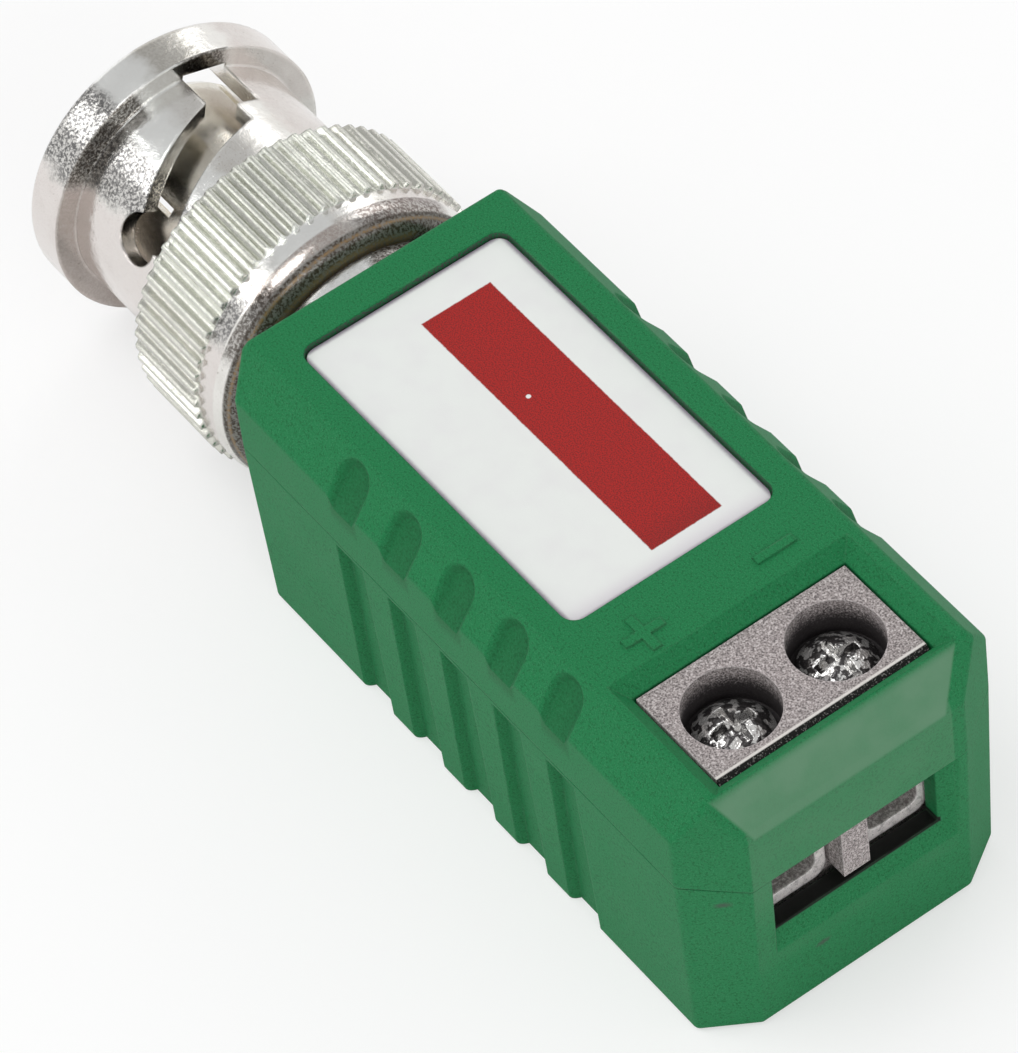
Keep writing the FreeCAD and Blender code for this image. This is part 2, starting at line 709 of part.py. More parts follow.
def cut_below_joint(body):
    """Take away what lies below the joint line, which steps down across the front."""
    low = size["front_parting"]
    joint = size["side_parting"] + size["shell_gap"]
    step_back = half_length - size["corner_along"]
    back = outline(
        body, "joint_side", "XZ_Plane", rectangle(-half_length - past, step_back, low - past, joint)
    )
    pocket(body, "joint", back, size["housing_width"] + past, both_ways=True)
    line = [(across, up + size["shell_gap"]) for across, up in front_step()]
    edge = half_width + past
    below = [(-edge, low - past), (edge, low - past), (edge, joint)] + line[::-1] + [(-edge, joint)]
    front = outline(body, "front_step_outline", "YZ_Plane", below, shift=(0, 0, half_length))
    pocket(body, "front_step", front, 2 * size["corner_along"], both_ways=True)


def cut_roof_bevels(body):
    """The long top bevels on the sides and the steep ones on the ends."""
    drop = size["side_roof_drop"]
    inset = size["side_roof_inset"]
    for side, name in ((-1, "near"), (1, "far")):
        edge = side * half_width
        inner = side * (half_width - 2 * inset)
        outer = side * (half_width + past)
        corners = [(edge, top - drop), (outer, top - drop), (outer, top + drop), (inner, top + drop)]
        bevel = outline(body, "bevel_%s_outline" % name, "YZ_Plane", corners if side > 0 else corners[::-1])
        pocket(body, "bevel_" + name, bevel, size["housing_length"] + past, both_ways=True)
    drop = size["end_roof_drop"]
    inset = size["end_roof_inset"]
    for side, name in ((-1, "back"), (1, "front")):
        edge = side * half_length
        inner = side * (half_length - 2 * inset)
        outer = side * (half_length + past)
        corners = [(edge, top - drop), (outer, top - drop), (outer, top + drop), (inner, top + drop)]
        bevel = outline(body, "bevel_%s_outline" % name, "XZ_Plane", corners if side > 0 else corners[::-1])
        last = pocket(body, "bevel_" + name, bevel, size["housing_width"] + past, both_ways=True)
    return last


def add_tongues(body):
    """Two tongues that drop inside the lower shell's long walls and keep the shells in line."""
    outer = half_width - size["wall"] - size["tongue_gap"]
    inner = outer - size["tongue_thickness"]
    half = size["tongue_length"] / 2
    joint = size["side_parting"] + size["shell_gap"]
    for side, name in ((-1, "near"), (1, "far")):
        low, high = sorted((side * inner, side * outer), key=lambda edge: edge.number)
        tongue = outline(
            body, "tongue_%s_plan" % name, "XY_Plane", rectangle(-half, half, low, high),
            shift=(0, 0, joint - size["tongue_depth"]),
        )
        pad(body, "tongue_" + name, tongue, size["tongue_depth"] + size["wall"])
        foot = outline(
            body, "foot_%s_plan" % name, "XY_Plane",
            rectangle(-half, half, low - size["tongue_gap"], high + size["tongue_gap"]),
            shift=(0, 0, joint),
        )
        pad(body, "foot_" + name, foot, size["wall"])


def cut_terminal_opening(body):
    """The opening that the terminal block looks out of, with its bevelled rim."""
    gap = size["block_gap"]
    half = block_half + gap
    opening = outline(
        body, "terminal_plan", "XY_Plane",
        rectangle(neck_back - gap, block_front + gap, -half, half), shift=(0, 0, top),
    )
    pocket(body, "terminal_opening", opening, top - size["side_parting"])
    rim = size["block_bevel"]
    rim_plan = outline(
        body, "terminal_rim_plan", "XY_Plane",
        rectangle(neck_back - gap - rim, block_front + gap + rim, -half - rim, half + rim), shift=(0, 0, top),
    )
    pocket(body, "terminal_rim", rim_plan, rim, taper=-size["block_bevel_slope"])


def cut_label_recess(body):
    """The shallow recess that the label lies in."""
    gap = size["label_gap"]
    half = size["label_width"] / 2 + gap
    corner = size["label_corner"] + gap
    corners, arcs = rounded_rectangle(label_back - gap, label_front + gap, -half, half, corner)
    recess = outline(body, "label_plan", "XY_Plane", corners, arcs, (0, 0, top))
    return pocket(body, "label_recess", recess, size["label_recess"])


def rounded_rectangle(left, right, low, high, corner):
    """The corners and arcs of a rectangle with round corners."""
    corners = [
        (left + corner, low),
        (right - corner, low),
        (right, low + corner),
        (right, high - corner),
        (right - corner, high),
        (left + corner, high),
        (left, high - corner),
        (left, low + corner),
    ]
    return corners, {1: corner, 3: corner, 5: corner, 7: corner}


def add_marks(body):
    """The raised plus and minus beside the screws."""
    x = half_length - size["mark_setback"]
    y = size["mark_spread"]
    long = size["mark_length"] / 2
    thin = size["mark_stroke"] / 2
    strokes = (
        ("minus", rectangle(x - thin, x + thin, y - long, y + long)),
        ("plus_bar", rectangle(x - thin, x + thin, -y - long, long - y)),
        ("plus_cross", rectangle(x - long, x + long, -y - thin, thin - y)),
    )
    for name, corners in strokes:
        mark = outline(body, name + "_outline", "XY_Plane", corners, shift=(0, 0, top))
        pad(body, name, mark, size["mark_height"])


def make_label():
    """The printed label in its recess."""
    body = new_body("label")
    half = size["label_width"] / 2
    corners, arcs = rounded_rectangle(label_back, label_front, -half, half, size["label_corner"])
    sheet_plan = outline(body, "sheet_plan", "XY_Plane", corners, arcs, (0, 0, top - size["label_recess"]))
    pad(body, "printed_sheet", sheet_plan, size["label_thickness"])
    return body


def make_coupling_nut():
    """The bayonet coupling nut: flange, tracked barrel, knurl, smooth ring and back lip."""
    body = new_body("coupling_nut", size["plug_axis"])
    bore = size["nut_bore"]
    flange = size["flange_radius"]
    barrel = size["barrel_radius"]
    knurl = size["knurl_radius"]
    ring = size["nut_collar_radius"]
    bevel = size["knurl_bevel"]
    room = size["spring_room"]
    lip = size["bearing_radius"] + size["bearing_play"]
    soft = size["flange_round"]
    mouth = size["nut_bore_bevel"]
    corners = [
        (nut_front + mouth, bore),
        (nut_front, bore + mouth),
        (nut_front, flange - soft),
        (nut_front + soft, flange),
        (barrel_front, flange),
        (barrel_front, barrel),
        (knurl_front, barrel),
        (knurl_front, knurl - 2 * bevel),
        (knurl_front + bevel, knurl),
        (knurl_back, knurl),
        (knurl_back, ring),
        (nut_collar_back, ring),
        (nut_end, size["nut_lip_radius"]),
        (nut_end, lip),
        (lip_face, lip),
        (lip_face, room),
        (bore_end, room),
        (bore_end, bore),
    ]
    profile = outline(
        body, "nut_profile", "XY_Plane", corners[::-1],
        {5: size["nut_shoulder"], 14: soft},
    )
    revolve(body, "nut_blank", profile)
    tooth = size["knurl_depth"]
    root = size["knurl_root"] / 2
    wide = size["knurl_mouth"] / 2
    spread = wide - root
    notch = [
        (-root, knurl - tooth),
        (root, knurl - tooth),
        (root + 2 * spread, knurl + tooth),
        (-root - 2 * spread, knurl + tooth),
    ]
    notch_outline = outline(body, "knurl_notch_outline", "YZ_Plane", notch, shift=(0, 0, knurl_front))
    knurl_notch = pocket(
        body, "knurl_notch", notch_outline, size["knurl_length"], backwards=True
    )
    ring_of(body, "knurl_ring", [knurl_notch], "X_Axis", size["knurl_count"])
    cut_bayonet_tracks(body)
    return body


def cut_bayonet_tracks(body):
    """Two tracks: a straight entry through the flange's bore, a turn, and a round end notch."""
    half = size["track_width"] / 2
    inner = size["nut_bore"] - half / 4
    outer = size["track_root"]
    start = nut_front + size["track_start"]
    turn = size["track_angle"]
    entry_plan = outline(
        body, "entry_outline", "XY_Plane",
        rectangle(nut_front - half, start, inner, outer), turn=turn,
    )
    entry = pocket(body, "track_entry", entry_plan, size["track_width"], both_ways=True)
    section = outline(
        body, "track_section", "XY_Plane", rectangle(start - half, start + half, inner, outer), turn=turn
    )
    track = body.newObject("PartDesign::SubtractiveHelix", "track_turn")
    track.Profile = section
    track.ReferenceAxis = (origin_part(body, "X_Axis"), [""])
    track.Mode = "height-turns-angle"
    bind(track, "Height", size["track_rise"])
    bind(track, "Turns", size["track_turn"] / FULL_TURN)
    end = turn + size["track_turn"]
    tangent = end - QUARTER_TURN
    reach = outer + half
    notch_shift = (0, cosine(end) * reach, sine(end) * reach)
    notch_place = start + size["track_rise"] - size["detent_shift"]
    notch_plan = circle(
        body, "notch_outline", "XY_Plane", (notch_place, 0), size["detent_radius"], notch_shift, tangent
    )
    notch = pocket(body, "track_notch", notch_plan, reach - inner)
    return ring_of(body, "tracks", [entry, track, notch], "X_Axis", size["track_count"])


def make_plug_body():
    """The turned body of the plug, with a square neck in the housing's back wall."""
    body = new_body("plug_body", size["plug_axis"])
    bearing = size["bearing_radius"]
    collar = size["body_collar"]
    groove = size["ring_groove"]
    foot_bore = size["contact_foot_radius"] + size["gasket_gap"]
    bore = size["insulator_radius"] + size["insulator_gap"]
    tail_bore = size["insulator_tail"] + size["insulator_gap"]
    gap = size["gasket_gap"]
    corners = [
        (body_front, foot_bore),
        (contact_back + gap, foot_bore),
        (contact_back + gap, bore),
        (inner_collar_front, bore),
        (inner_collar_front, tail_bore),
        (body_back, tail_bore),
        (body_back, size["rear_boss"]),
        (inner_collar_back, size["rear_boss"]),
        (inner_collar_back, size["inner_collar_radius"]),
        (inner_collar_front, size["inner_collar_radius"]),
        (inner_collar_front, collar),
        (outer_collar_front, collar),
        (outer_collar_front, bearing),
        (ring_back, bearing),
        (ring_back, groove),
        (ring_front, groove),
        (ring_front, bearing),
        (body_front, bearing),
    ]
    profile = outline(body, "body_profile", "XY_Plane", corners)
    revolve(body, "turned_body", profile)
    half = size["neck_width"] / 2
    flat_plan = outline(
        body, "neck_flat_outline", "XZ_Plane",
        rectangle(outer_collar_back, inner_collar_front, half, collar + past),
    )
    flat = pocket(body, "neck_flat", flat_plan, 2 * collar, both_ways=True)
    ring_of(body, "square_neck", [flat], "X_Axis", 4)
    return body


def turned_ring(name, front, back, inner, outer, angle=None):
    """A plain turned ring on the plug's axis."""
    body = new_body(name, size["plug_axis"])
    profile = outline(body, name + "_section", "XY_Plane", rectangle(front, back, inner, outer))
    revolve(body, name + "_ring", profile, angle=angle)
    return body


def make_outer_contact():
    """The slotted sleeve that carries the cable's shield."""
    body = new_body("outer_contact", size["plug_axis"])
    outer = size["contact_radius"]
    inner = outer - size["contact_wall"]
    lead = size["contact_wall"] / 3
    foot = size["contact_foot_radius"]
    corners = [
        (contact_front, inner),
        (contact_back, inner),
        (contact_back, foot),
        (gasket_front, foot),
        (gasket_front, outer),
        (contact_front + 2 * lead, outer),
        (contact_front, outer - lead),
    ]
    profile = outline(body, "sleeve_profile", "XY_Plane", corners)
    revolve(body, "sleeve", profile)
    half = size["contact_slot"] / 2
    slot_plan = outline(
        body, "sleeve_slot_outline", "XY_Plane",
        rectangle(contact_front - half, contact_front + size["contact_slot_length"], -half, half),
        turn=size["contact_slot_angle"],
    )
    slot = pocket(body, "sleeve_slot", slot_plan, outer + half, backwards=True)
    ring_of(body, "sleeve_slots", [slot], "X_Axis", size["contact_slot_count"])
    return body


def make_insulator():
    """The white insulator between the body and the centre contact."""
    body = new_body("insulator", size["plug_axis"])
    bore = size["pin_shoulder"] + size["pin_play"]
    nose = size["insulator_nose"]
    main = size["insulator_radius"]
    gap = size["insulator_gap"]
    corners = [
        (insulator_front, bore),
        (body_back, bore),
        (body_back, size["insulator_tail"]),
        (inner_collar_front - gap, size["insulator_tail"]),
        (inner_collar_front - gap, main),
        (body_front, main),
        (body_front, nose),
        (insulator_front, nose),
    ]
    profile = outline(body, "insulator_profile", "XY_Plane", corners)
    revolve(body, "insulator_turned", profile)
    return body


def make_centre_pin():
    """The centre contact, with a rounded tip and a thicker length inside the insulator."""
    body = new_body("centre_pin", size["plug_axis"])
    radius = size["pin_radius"]
    shoulder = size["pin_shoulder"]
    corners = [
        (pin_tip, 0),
        (pin_back, 0),
        (pin_back, shoulder),
        (insulator_front, shoulder),
        (insulator_front, radius),
        (pin_tip + radius, radius),
    ]
    profile = outline(body, "pin_profile", "XY_Plane", corners, {5: radius})
    revolve(body, "pin_turned", profile)
    return body


def make_wave_washer():
    """A sprung washer: a flat strip swept round a closed wave."""
    inner = size["bearing_radius"].number + size["bearing_play"].number
    outer = size["washer_radius"].number
    middle = (inner + outer) / 2
    thickness = size["wave_thickness"].number
    swing = (size["wave_height"].number - thickness) / 2
    centre = (wave_back.number + wave_front.number) / 2
    waves = int(size["wave_count"].number)
    steps = 8 * waves
    points = []
    for step in range(steps):
        angle = 2 * math.pi * step / steps
        lift = swing * math.cos(waves * angle)
        points.append(Vector(centre + lift, middle * math.cos(angle), middle * math.sin(angle)))
    path = Part.BSplineCurve()
    path.interpolate(points, PeriodicFlag=True)
    half = (outer - inner) / 2
    thin = thickness / 2
    start = points[0]
    corners = [
        start + Vector(-thin, -half, 0),
        start + Vector(thin, -half, 0),
        start + Vector(thin, half, 0),
        start + Vector(-thin, half, 0),
    ]
    section = Part.makePolygon(corners + corners[:1])
    pipe = Part.BRepOffsetAPI.MakePipeShell(Part.Wire(path.toShape()))
    pipe.setBiNormalMode(Vector(1, 0, 0))
    pipe.add(section)
    pipe.build()
    pipe.makeSolid()
    washer = doc.addObject("Part::Feature", "wave_washer")
    washer.Label = "wave_washer"
    washer.Shape = Part.Solid(Part.Shell(pipe.shape().Faces))
    washer.Placement.Base = Vector(0, 0, size["plug_axis"].number)
    return washer


def make_terminal_block():
    """The grey two-pole block: screw wells above, wire chambers open to the front, a divider between."""
    body = new_body("terminal_block")
    foot = size["board_top"]
    edge = size["block_edge"]
    side = [
        (block_back, foot),
        (block_front, foot),
        (block_front, block_top - edge),
        (block_front - edge, block_top),
        (neck_back, block_top),
        (neck_back, size["block_step"]),
        (block_back, size["block_step"]),
    ]
    profile = outline(body, "block_side", "XZ_Plane", side)
    pad(body, "block", profile, 2 * pitch, both_ways=True)
    nose = outline(
        body, "nose_side", "XZ_Plane",
        rectangle(block_front - edge, block_front + size["nose_reach"], size["nose_low"], size["nose_high"]),
    )
    pad(body, "divider_nose", nose, pitch - size["chamber_width"], both_ways=True)
    first = -pitch / 2
    well_plan = circle(
        body, "well_plan", "XY_Plane", (screw_place, first), size["screw_well"] / 2, (0, 0, block_top)
    )
    well = pocket(body, "well", well_plan, block_top - size["screw_seat"])
    hole_radius = size["screw_shank"] / 2 + 3 * size["screw_play"]
    hole_plan = circle(body, "hole_plan", "XY_Plane", (screw_place, first), hole_radius, (0, 0, block_top))
    hole = pocket(body, "hole", hole_plan, block_top - size["chamber_floor"])
    half = size["chamber_width"] / 2
    chamber_plan = outline(
        body, "chamber_outline", "YZ_Plane",
        rectangle(first - half, first + half, size["chamber_floor"], size["chamber_top"]),
        shift=(0, 0, chamber_back),
    )
    chamber = pocket(body, "chamber", chamber_plan, size["block_depth"], backwards=True)
    half = size["pin_width"] / 2 + size["pin_gap"]
    slit_plan = outline(
        body, "slit_plan", "XY_Plane",
        rectangle(chamber_back, pin_place + size["bar_thickness"] + size["pin_gap"], first - half, first + half),
        shift=(0, 0, size["chamber_floor"] + half),
    )
    slit = pocket(body, "pin_slit", slit_plan, size["chamber_floor"])
    row_of(body, "poles", [well, hole, chamber, slit], "Y_Axis", 2, pitch)
    return body


def make_screw(name, side):
    """A domed terminal screw with a cross recess."""
    body = new_body(name)
    bind(body, "Placement.Base.x", screw_place)
    bind(body, "Placement.Base.y", pitch * (side / 2))
    seat = size["screw_seat"]
    crown = seat + size["screw_head_height"]
    head = size["screw_head"] / 2
    shank = size["screw_shank"] / 2
    tip = size["bar_top"] + size["screw_play"]
    rise = size["screw_head_height"] * 2 / 3
    dome = (head * head + rise * rise) / (2 * rise)
    corners = [
        (0, tip),
        (shank - shank / 4, tip),
        (shank, tip + shank / 4),
        (shank, seat),
        (head, seat),
        (head, crown - rise),
        (0, crown),
    ]
    profile = outline(body, name + "_profile", "XZ_Plane", corners, {5: dome})
    revolve(body, name + "_turned", profile, axis="Z_Axis")
    half = size["slot_width"] / 2
    reach = size["slot_length"] / 2
    cross = [
        (-half, -reach),
        (half, -reach),
        (half, -half),
        (reach, -half),
        (reach, half),
        (half, half),
        (half, reach),
        (-half, reach),
        (-half, half),
        (-reach, half),
        (-reach, -half),
        (-half, -half),
    ]
    recess = outline(body, name + "_cross", "XY_Plane", cross, shift=(0, 0, crown))
    pocket(body, name + "_recess", recess, size["slot_depth"], taper=-size["slot_taper"])
    return body


def make_cage(name, side):
    """A rising clamp cage: a folded frame whose tapped top climbs the screw."""
    body = new_body(name)
    bind(body, "Placement.Base.x", screw_place)
    bind(body, "Placement.Base.y", pitch * (side / 2))
    bind(body, "Placement.Base.z", size["cage_rest"])
    half = size["cage_width"] / 2
    inner = half - size["cage_sheet"]
    floor = size["cage_floor"]
    ceiling = size["cage_height"] - size["cage_nut"]
    corner = size["cage_corner"]
    small = corner - size["cage_sheet"] / 2
    frame = [
        (-half + corner, 0),
        (half - corner, 0),
        (half, corner),
        (half, size["cage_height"]),
        (-half, size["cage_height"]),
        (-half, corner),
    ]
    profile = outline(body, name + "_outer", "YZ_Plane", frame, {1: corner, 5: corner})
    pad(body, name + "_frame", profile, size["cage_length"], both_ways=True)
    mouth = [
        (-inner + small, floor),
        (inner - small, floor),
        (inner, floor + small),
        (inner, ceiling),
        (-inner, ceiling),
        (-inner, floor + small),
    ]
    mouth_outline = outline(body, name + "_inner", "YZ_Plane", mouth, {1: small, 5: small})
    pocket(body, name + "_mouth", mouth_outline, size["cage_length"] + floor, both_ways=True)
    thread = size["screw_shank"] / 2 + size["screw_play"]
    hole_plan = circle(body, name + "_hole_plan", "XY_Plane", (0, 0), thread, (0, 0, size["cage_height"]))
    pocket(body, name + "_hole", hole_plan, 2 * size["cage_nut"])
    return body


def make_contact_bar(name, side):
    """A current bar with its solder pin, cut from one strip."""
    body = new_body(name)
    bind(body, "Placement.Base.y", pitch * (side / 2))
    high = size["bar_top"]
    low = high - size["bar_thickness"]
    bar_plan = outline(
        body, name + "_plan", "XY_Plane",
        rectangle(pin_place, block_front - size["bar_setback"], -size["bar_width"] / 2, size["bar_width"] / 2),
        shift=(0, 0, low),
    )
    pad(body, name + "_bar", bar_plan, size["bar_thickness"])
    pin_plan = outline(
        body, name + "_pin_plan", "XY_Plane",
        rectangle(pin_place, pin_place + size["bar_thickness"], -size["pin_width"] / 2, size["pin_width"] / 2),
        shift=(0, 0, size["pin_end"]),
    )
    pad(body, name + "_pin", pin_plan, low + size["bar_thickness"] / 2 - size["pin_end"])
    return body


def make_circuit_board():
    """The board that the block, the core and the parts stand on."""
    body = new_body("circuit_board")
    half = size["board_width"] / 2
    plan_view = outline(
        body, "board_plan", "XY_Plane", rectangle(board_back, board_front, -half, half),
        shift=(0, 0, board_bottom),
    )
    pad(body, "board", plan_view, size["board_thickness"])
    half = size["pin_width"] / 2 + size["pin_gap"]
    first = -pitch / 2
    left = pin_place - size["pin_gap"]
    right = pin_place + size["bar_thickness"] + size["pin_gap"]
    hole_plan = outline(
        body, "pin_hole_plan", "XY_Plane", rectangle(left, right, first - half, first + half),
        shift=(0, 0, size["board_top"]),
    )
    hole = pocket(body, "pin_hole", hole_plan, 2 * size["board_thickness"])
    row_of(body, "pin_holes", [hole], "Y_Axis", 2, pitch)
    return body


def make_core():
    """The ferrite ring that the two windings share."""
    body = new_body("toroid_core", size["board_top"] + size["core_lift"])
    bind(body, "Placement.Base.x", core_place)
    inner = size["core_bore"]
    outer = size["core_radius"]
    high = size["core_height"]
    edge = size["core_edge"]
    corners, _ = rounded_rectangle(inner, outer, as_size(0), high, edge)
    profile = outline(body, "core_section", "XZ_Plane", corners)
    revolve(body, "core", profile, axis="Z_Axis")
    return body


def make_winding():
    """The turns of enamelled wire, each a bent loop round the core's section."""
    loops = []
    gap = size["wire_gap"].number + size["wire_radius"].number
    left = size["core_bore"].number - gap
    right = size["core_radius"].number + gap
    low = -gap
    high = size["core_height"].number + gap
    bend = size["core_edge"].number + gap / 2
    turns = int(size["turn_count"].number)
    for turn in range(turns):
        path = loop_path(left, right, low, high, bend)
        start = Vector((left + right) / 2, 0, low)
        ring = Part.Wire(Part.makeCircle(size["wire_radius"].number, start, Vector(1, 0, 0)))
        loop = path.makePipeShell([ring], True, False, MITRED)
        loop.rotate(Vector(0, 0, 0), Vector(0, 0, 1), FULL_TURN * (turn + 0.5) / turns)
        loops.append(loop)
    winding = doc.addObject("Part::Feature", "toroid_winding")
    winding.Label = "toroid_winding"
    winding.Shape = Part.makeCompound(loops)
    height = size["board_top"].number + size["core_lift"].number
    winding.Placement.Base = Vector(core_place.number, 0, height)
    return winding


def loop_path(left, right, low, high, bend):
    """A closed rectangle with cut corners in the XZ plane, started at the middle of its lower side."""
    middle = (left + right) / 2
    stops = [
        (middle, low),
        (right - bend, low),
        (right, low + bend),
        (right, high - bend),
        (right - bend, high),
        (left + bend, high),
        (left, high - bend),
        (left, low + bend),
        (left + bend, low),
        (middle, low),
    ]
    return Part.makePolygon([Vector(along, 0, up) for along, up in stops])


def make_capacitor():
    """A ceramic disc capacitor standing on two leads."""
    body = new_body("capacitor", size["board_top"] + size["part_gap"] + size["disc_radius"])
    bind(body, "Placement.Base.x", disc_place)
    radius = size["disc_radius"]
    half = size["disc_thickness"] / 2
    soft = half / 2
    corners = [
        (-half, 0),
        (half, 0),
        (half, radius - soft),
        (half - soft, radius),
        (soft - half, radius),
        (-half, radius - soft),
    ]
    profile = outline(body, "disc_section", "XY_Plane", corners)
    revolve(body, "disc", profile)
    reach = radius + size["part_gap"]
    for side, name in ((-1, "near"), (1, "far")):
        lead_plan = circle(
            body, "lead_%s_plan" % name, "XY_Plane", (0, radius * (side / 2)), size["lead_radius"],
            (0, 0, -reach),
        )
        pad(body, "lead_" + name, lead_plan, radius)
    return body


def make_tube_part(name, place, spread):
    """A small axial part lying on the board, with a lead bent down at each end."""
    body = new_body(name, size["board_top"] + size["part_gap"] + size["tube_radius"])
    bind(body, "Placement.Base.x", place)
    bind(body, "Placement.Base.y", spread)
    radius = size["tube_radius"]
    half = size["tube_length"] / 2
    soft = radius / 3
    corners = [
        (-half, 0),
        (half, 0),
        (half, radius - soft),
        (half - soft, radius),
        (soft - half, radius),
        (-half, radius - soft),
    ]
    profile = outline(body, name + "_section", "XY_Plane", corners)
    revolve(body, name + "_tube", profile)
    lead = size["lead_radius"]
    wire_plan = circle(body, name + "_wire_plan", "YZ_Plane", (0, 0), lead)
    pad(body, name + "_wire", wire_plan, size["tube_length"] + 6 * lead, both_ways=True)
    reach = radius + size["part_gap"]
    for side, end in ((-1, "back"), (1, "front")):
        leg_plan = circle(
            body, "%s_leg_%s_plan" % (name, end), "XY_Plane", ((half + 2 * lead) * side, 0), lead,
            (0, 0, -reach),
        )
        pad(body, "%s_leg_%s" % (name, end), leg_plan, reach)
    return body


def make_hookup_lead(name, start, drop_place, spread):
    """A short soldered lead that runs back and bends down onto the board."""
    bend = size["lead_bend"].number
    radius = size["hookup_radius"].number
    high = start[1].number
    low = size["board_top"].number + size["part_gap"].number / 2
    first = Vector(start[0].number, spread.number, high)
    turn_in = Vector(drop_place.number - bend, spread.number, high)
    turn_mid = Vector(drop_place.number - bend * (1 - math.sqrt(0.5)), spread.number,
                      high - bend * (1 - math.sqrt(0.5)))
    turn_out = Vector(drop_place.number, spread.number, high - bend)
    last = Vector(drop_place.number, spread.number, low)
    edges = [
        Part.LineSegment(first, turn_in).toShape(),
        Part.Arc(turn_in, turn_mid, turn_out).toShape(),
        Part.LineSegment(turn_out, last).toShape(),
    ]
    ring = Part.Wire(Part.makeCircle(radius, first, Vector(1, 0, 0)))
    lead = doc.addObject("Part::Feature", name)
    lead.Label = name
    lead.Shape = Part.Wire(edges).makePipeShell([ring], True, False)
    return lead


def make_all():
    """Every piece of the balun, in the order that it is put together."""
    bearing_bore = size["bearing_radius"] + size["bearing_play"]
    gasket_bore = size["contact_foot_radius"] + size["gasket_gap"]
    pieces = [
        make_lower_shell(),
        make_upper_shell(),
        make_label(),
        make_circuit_board(),
        make_terminal_block(),
        make_plug_body(),
        make_insulator(),
        make_centre_pin(),
        make_outer_contact(),
        turned_ring("front_gasket", gasket_front, body_front, gasket_bore, size["gasket_radius"]),
        turned_ring("retaining_ring", ring_front + size["washer_gap"] / 2, ring_back - size["washer_gap"] / 2,
                    size["ring_groove"] + size["washer_gap"], size["washer_radius"],
                    FULL_TURN - size["ring_gap_angle"]),
        make_wave_washer(),
        turned_ring("thrust_washer", thrust_front, thrust_back, bearing_bore, size["washer_radius"]),
        make_coupling_nut(),
        make_core(),
        make_winding(),
        make_capacitor(),
        make_tube_part("resistor", tube_place, size["tube_spread"]),
        make_tube_part("surge_suppressor", tube_place, -size["tube_spread"]),
    ]
    for name, side in (("plus", -1), ("minus", 1)):
        pieces.append(make_screw("terminal_screw_" + name, side))
        pieces.append(make_cage("wire_cage_" + name, side))
        pieces.append(make_contact_bar("contact_bar_" + name, side))
    axis = size["plug_axis"]
    pieces.append(make_hookup_lead("centre_lead", (pin_back, axis), board_back + 2 * size["lead_bend"], as_size(0)))
    pieces.append(make_hookup_lead(
        "ground_lead", (body_back, axis - size["ground_drop"]),
        board_back + size["lead_bend"] + size["hookup_radius"], size["ground_place"],
    ))
    return pieces


def check_document():
    """Stop if any object or shape came out wrong."""
    doc.recompute()
    for item in doc.Objects:
        if "Invalid" in item.State or "Error" in item.State:
            raise RuntimeError("%s is in a bad state: %s" % (item.Name, item.State))
    for piece in pieces:
        if piece.Shape.isNull() or not piece.Shape.isValid() or not piece.Shape.Solids:
            raise RuntimeError("%s has no valid solid" % piece.Label)


def write_parts():
    """Write each piece's shape to a file of its own name."""
    os.makedirs("parts", exist_ok=True)
    for piece in pieces:
        piece.Shape.exportStep("parts/%s.step" % piece.Label)
        solid_count = len(piece.Shape.Solids)
        print("%-22s %2d solid(s) %9.3f mm3" % (piece.Label, solid_count, piece.Shape.Volume))


pieces = make_all()
check_document()
write_parts()
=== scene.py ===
"""The looks of a two-wire video balun: a green moulded housing, a coaxial bayonet plug and a screw terminal.

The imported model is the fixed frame. This script dresses its nodes, adds the board's solder and sets up a plain
studio and the camera. X runs from the plug to the terminals, Z is up and the underside lies on Z = 0. Sizes are in
millimetres, apart from the studio's and the camera's, which are in metres.
"""

import json
import logging
import math
from dataclasses import dataclass
from enum import Enum
from functools import cached_property
from typing import Any, Iterable

import bpy
from mathutils import Matrix, Vector

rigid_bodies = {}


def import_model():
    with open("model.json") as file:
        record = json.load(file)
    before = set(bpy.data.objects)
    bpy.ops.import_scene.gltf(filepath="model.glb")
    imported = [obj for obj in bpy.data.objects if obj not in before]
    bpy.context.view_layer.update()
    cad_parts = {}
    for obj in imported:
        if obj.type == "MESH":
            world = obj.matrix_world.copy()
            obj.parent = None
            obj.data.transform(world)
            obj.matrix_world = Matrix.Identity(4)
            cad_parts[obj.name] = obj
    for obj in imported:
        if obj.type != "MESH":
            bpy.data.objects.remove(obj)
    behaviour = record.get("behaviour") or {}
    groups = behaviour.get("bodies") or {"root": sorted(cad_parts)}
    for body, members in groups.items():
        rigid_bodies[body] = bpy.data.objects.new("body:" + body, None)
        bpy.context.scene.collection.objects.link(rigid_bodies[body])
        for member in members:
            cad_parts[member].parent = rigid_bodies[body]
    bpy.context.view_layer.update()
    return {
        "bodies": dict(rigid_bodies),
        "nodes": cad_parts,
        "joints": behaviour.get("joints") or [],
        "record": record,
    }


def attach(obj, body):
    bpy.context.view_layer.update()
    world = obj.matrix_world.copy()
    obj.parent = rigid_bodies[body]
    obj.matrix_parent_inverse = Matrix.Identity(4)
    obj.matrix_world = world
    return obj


LOG = logging.getLogger("balun")
MM = 0.001

Pair = tuple[float, float]
Triple = tuple[float, float, float]


class Slot(Enum):
    """The record's material slots."""

    HOUSING = "housing_green"
    LABEL = "label_print"
    NICKEL = "nickel_plate"
    CONTACT = "contact_plate"
    GOLD = "gold_pin"
    SPRING = "spring_steel"
    INSULATOR = "insulator_white"
    RUBBER = "gasket_rubber"
    BLOCK = "block_grey"
    SCREW = "screw_steel"
    CAGE = "cage_plate"
    BOARD = "board_laminate"
    FERRITE = "ferrite"
    WIRE = "enamel_wire"
    DISC = "disc_ceramic"
    RESISTOR = "resistor_body"
    SUPPRESSOR = "suppressor_body"
    TIN = "lead_tin"


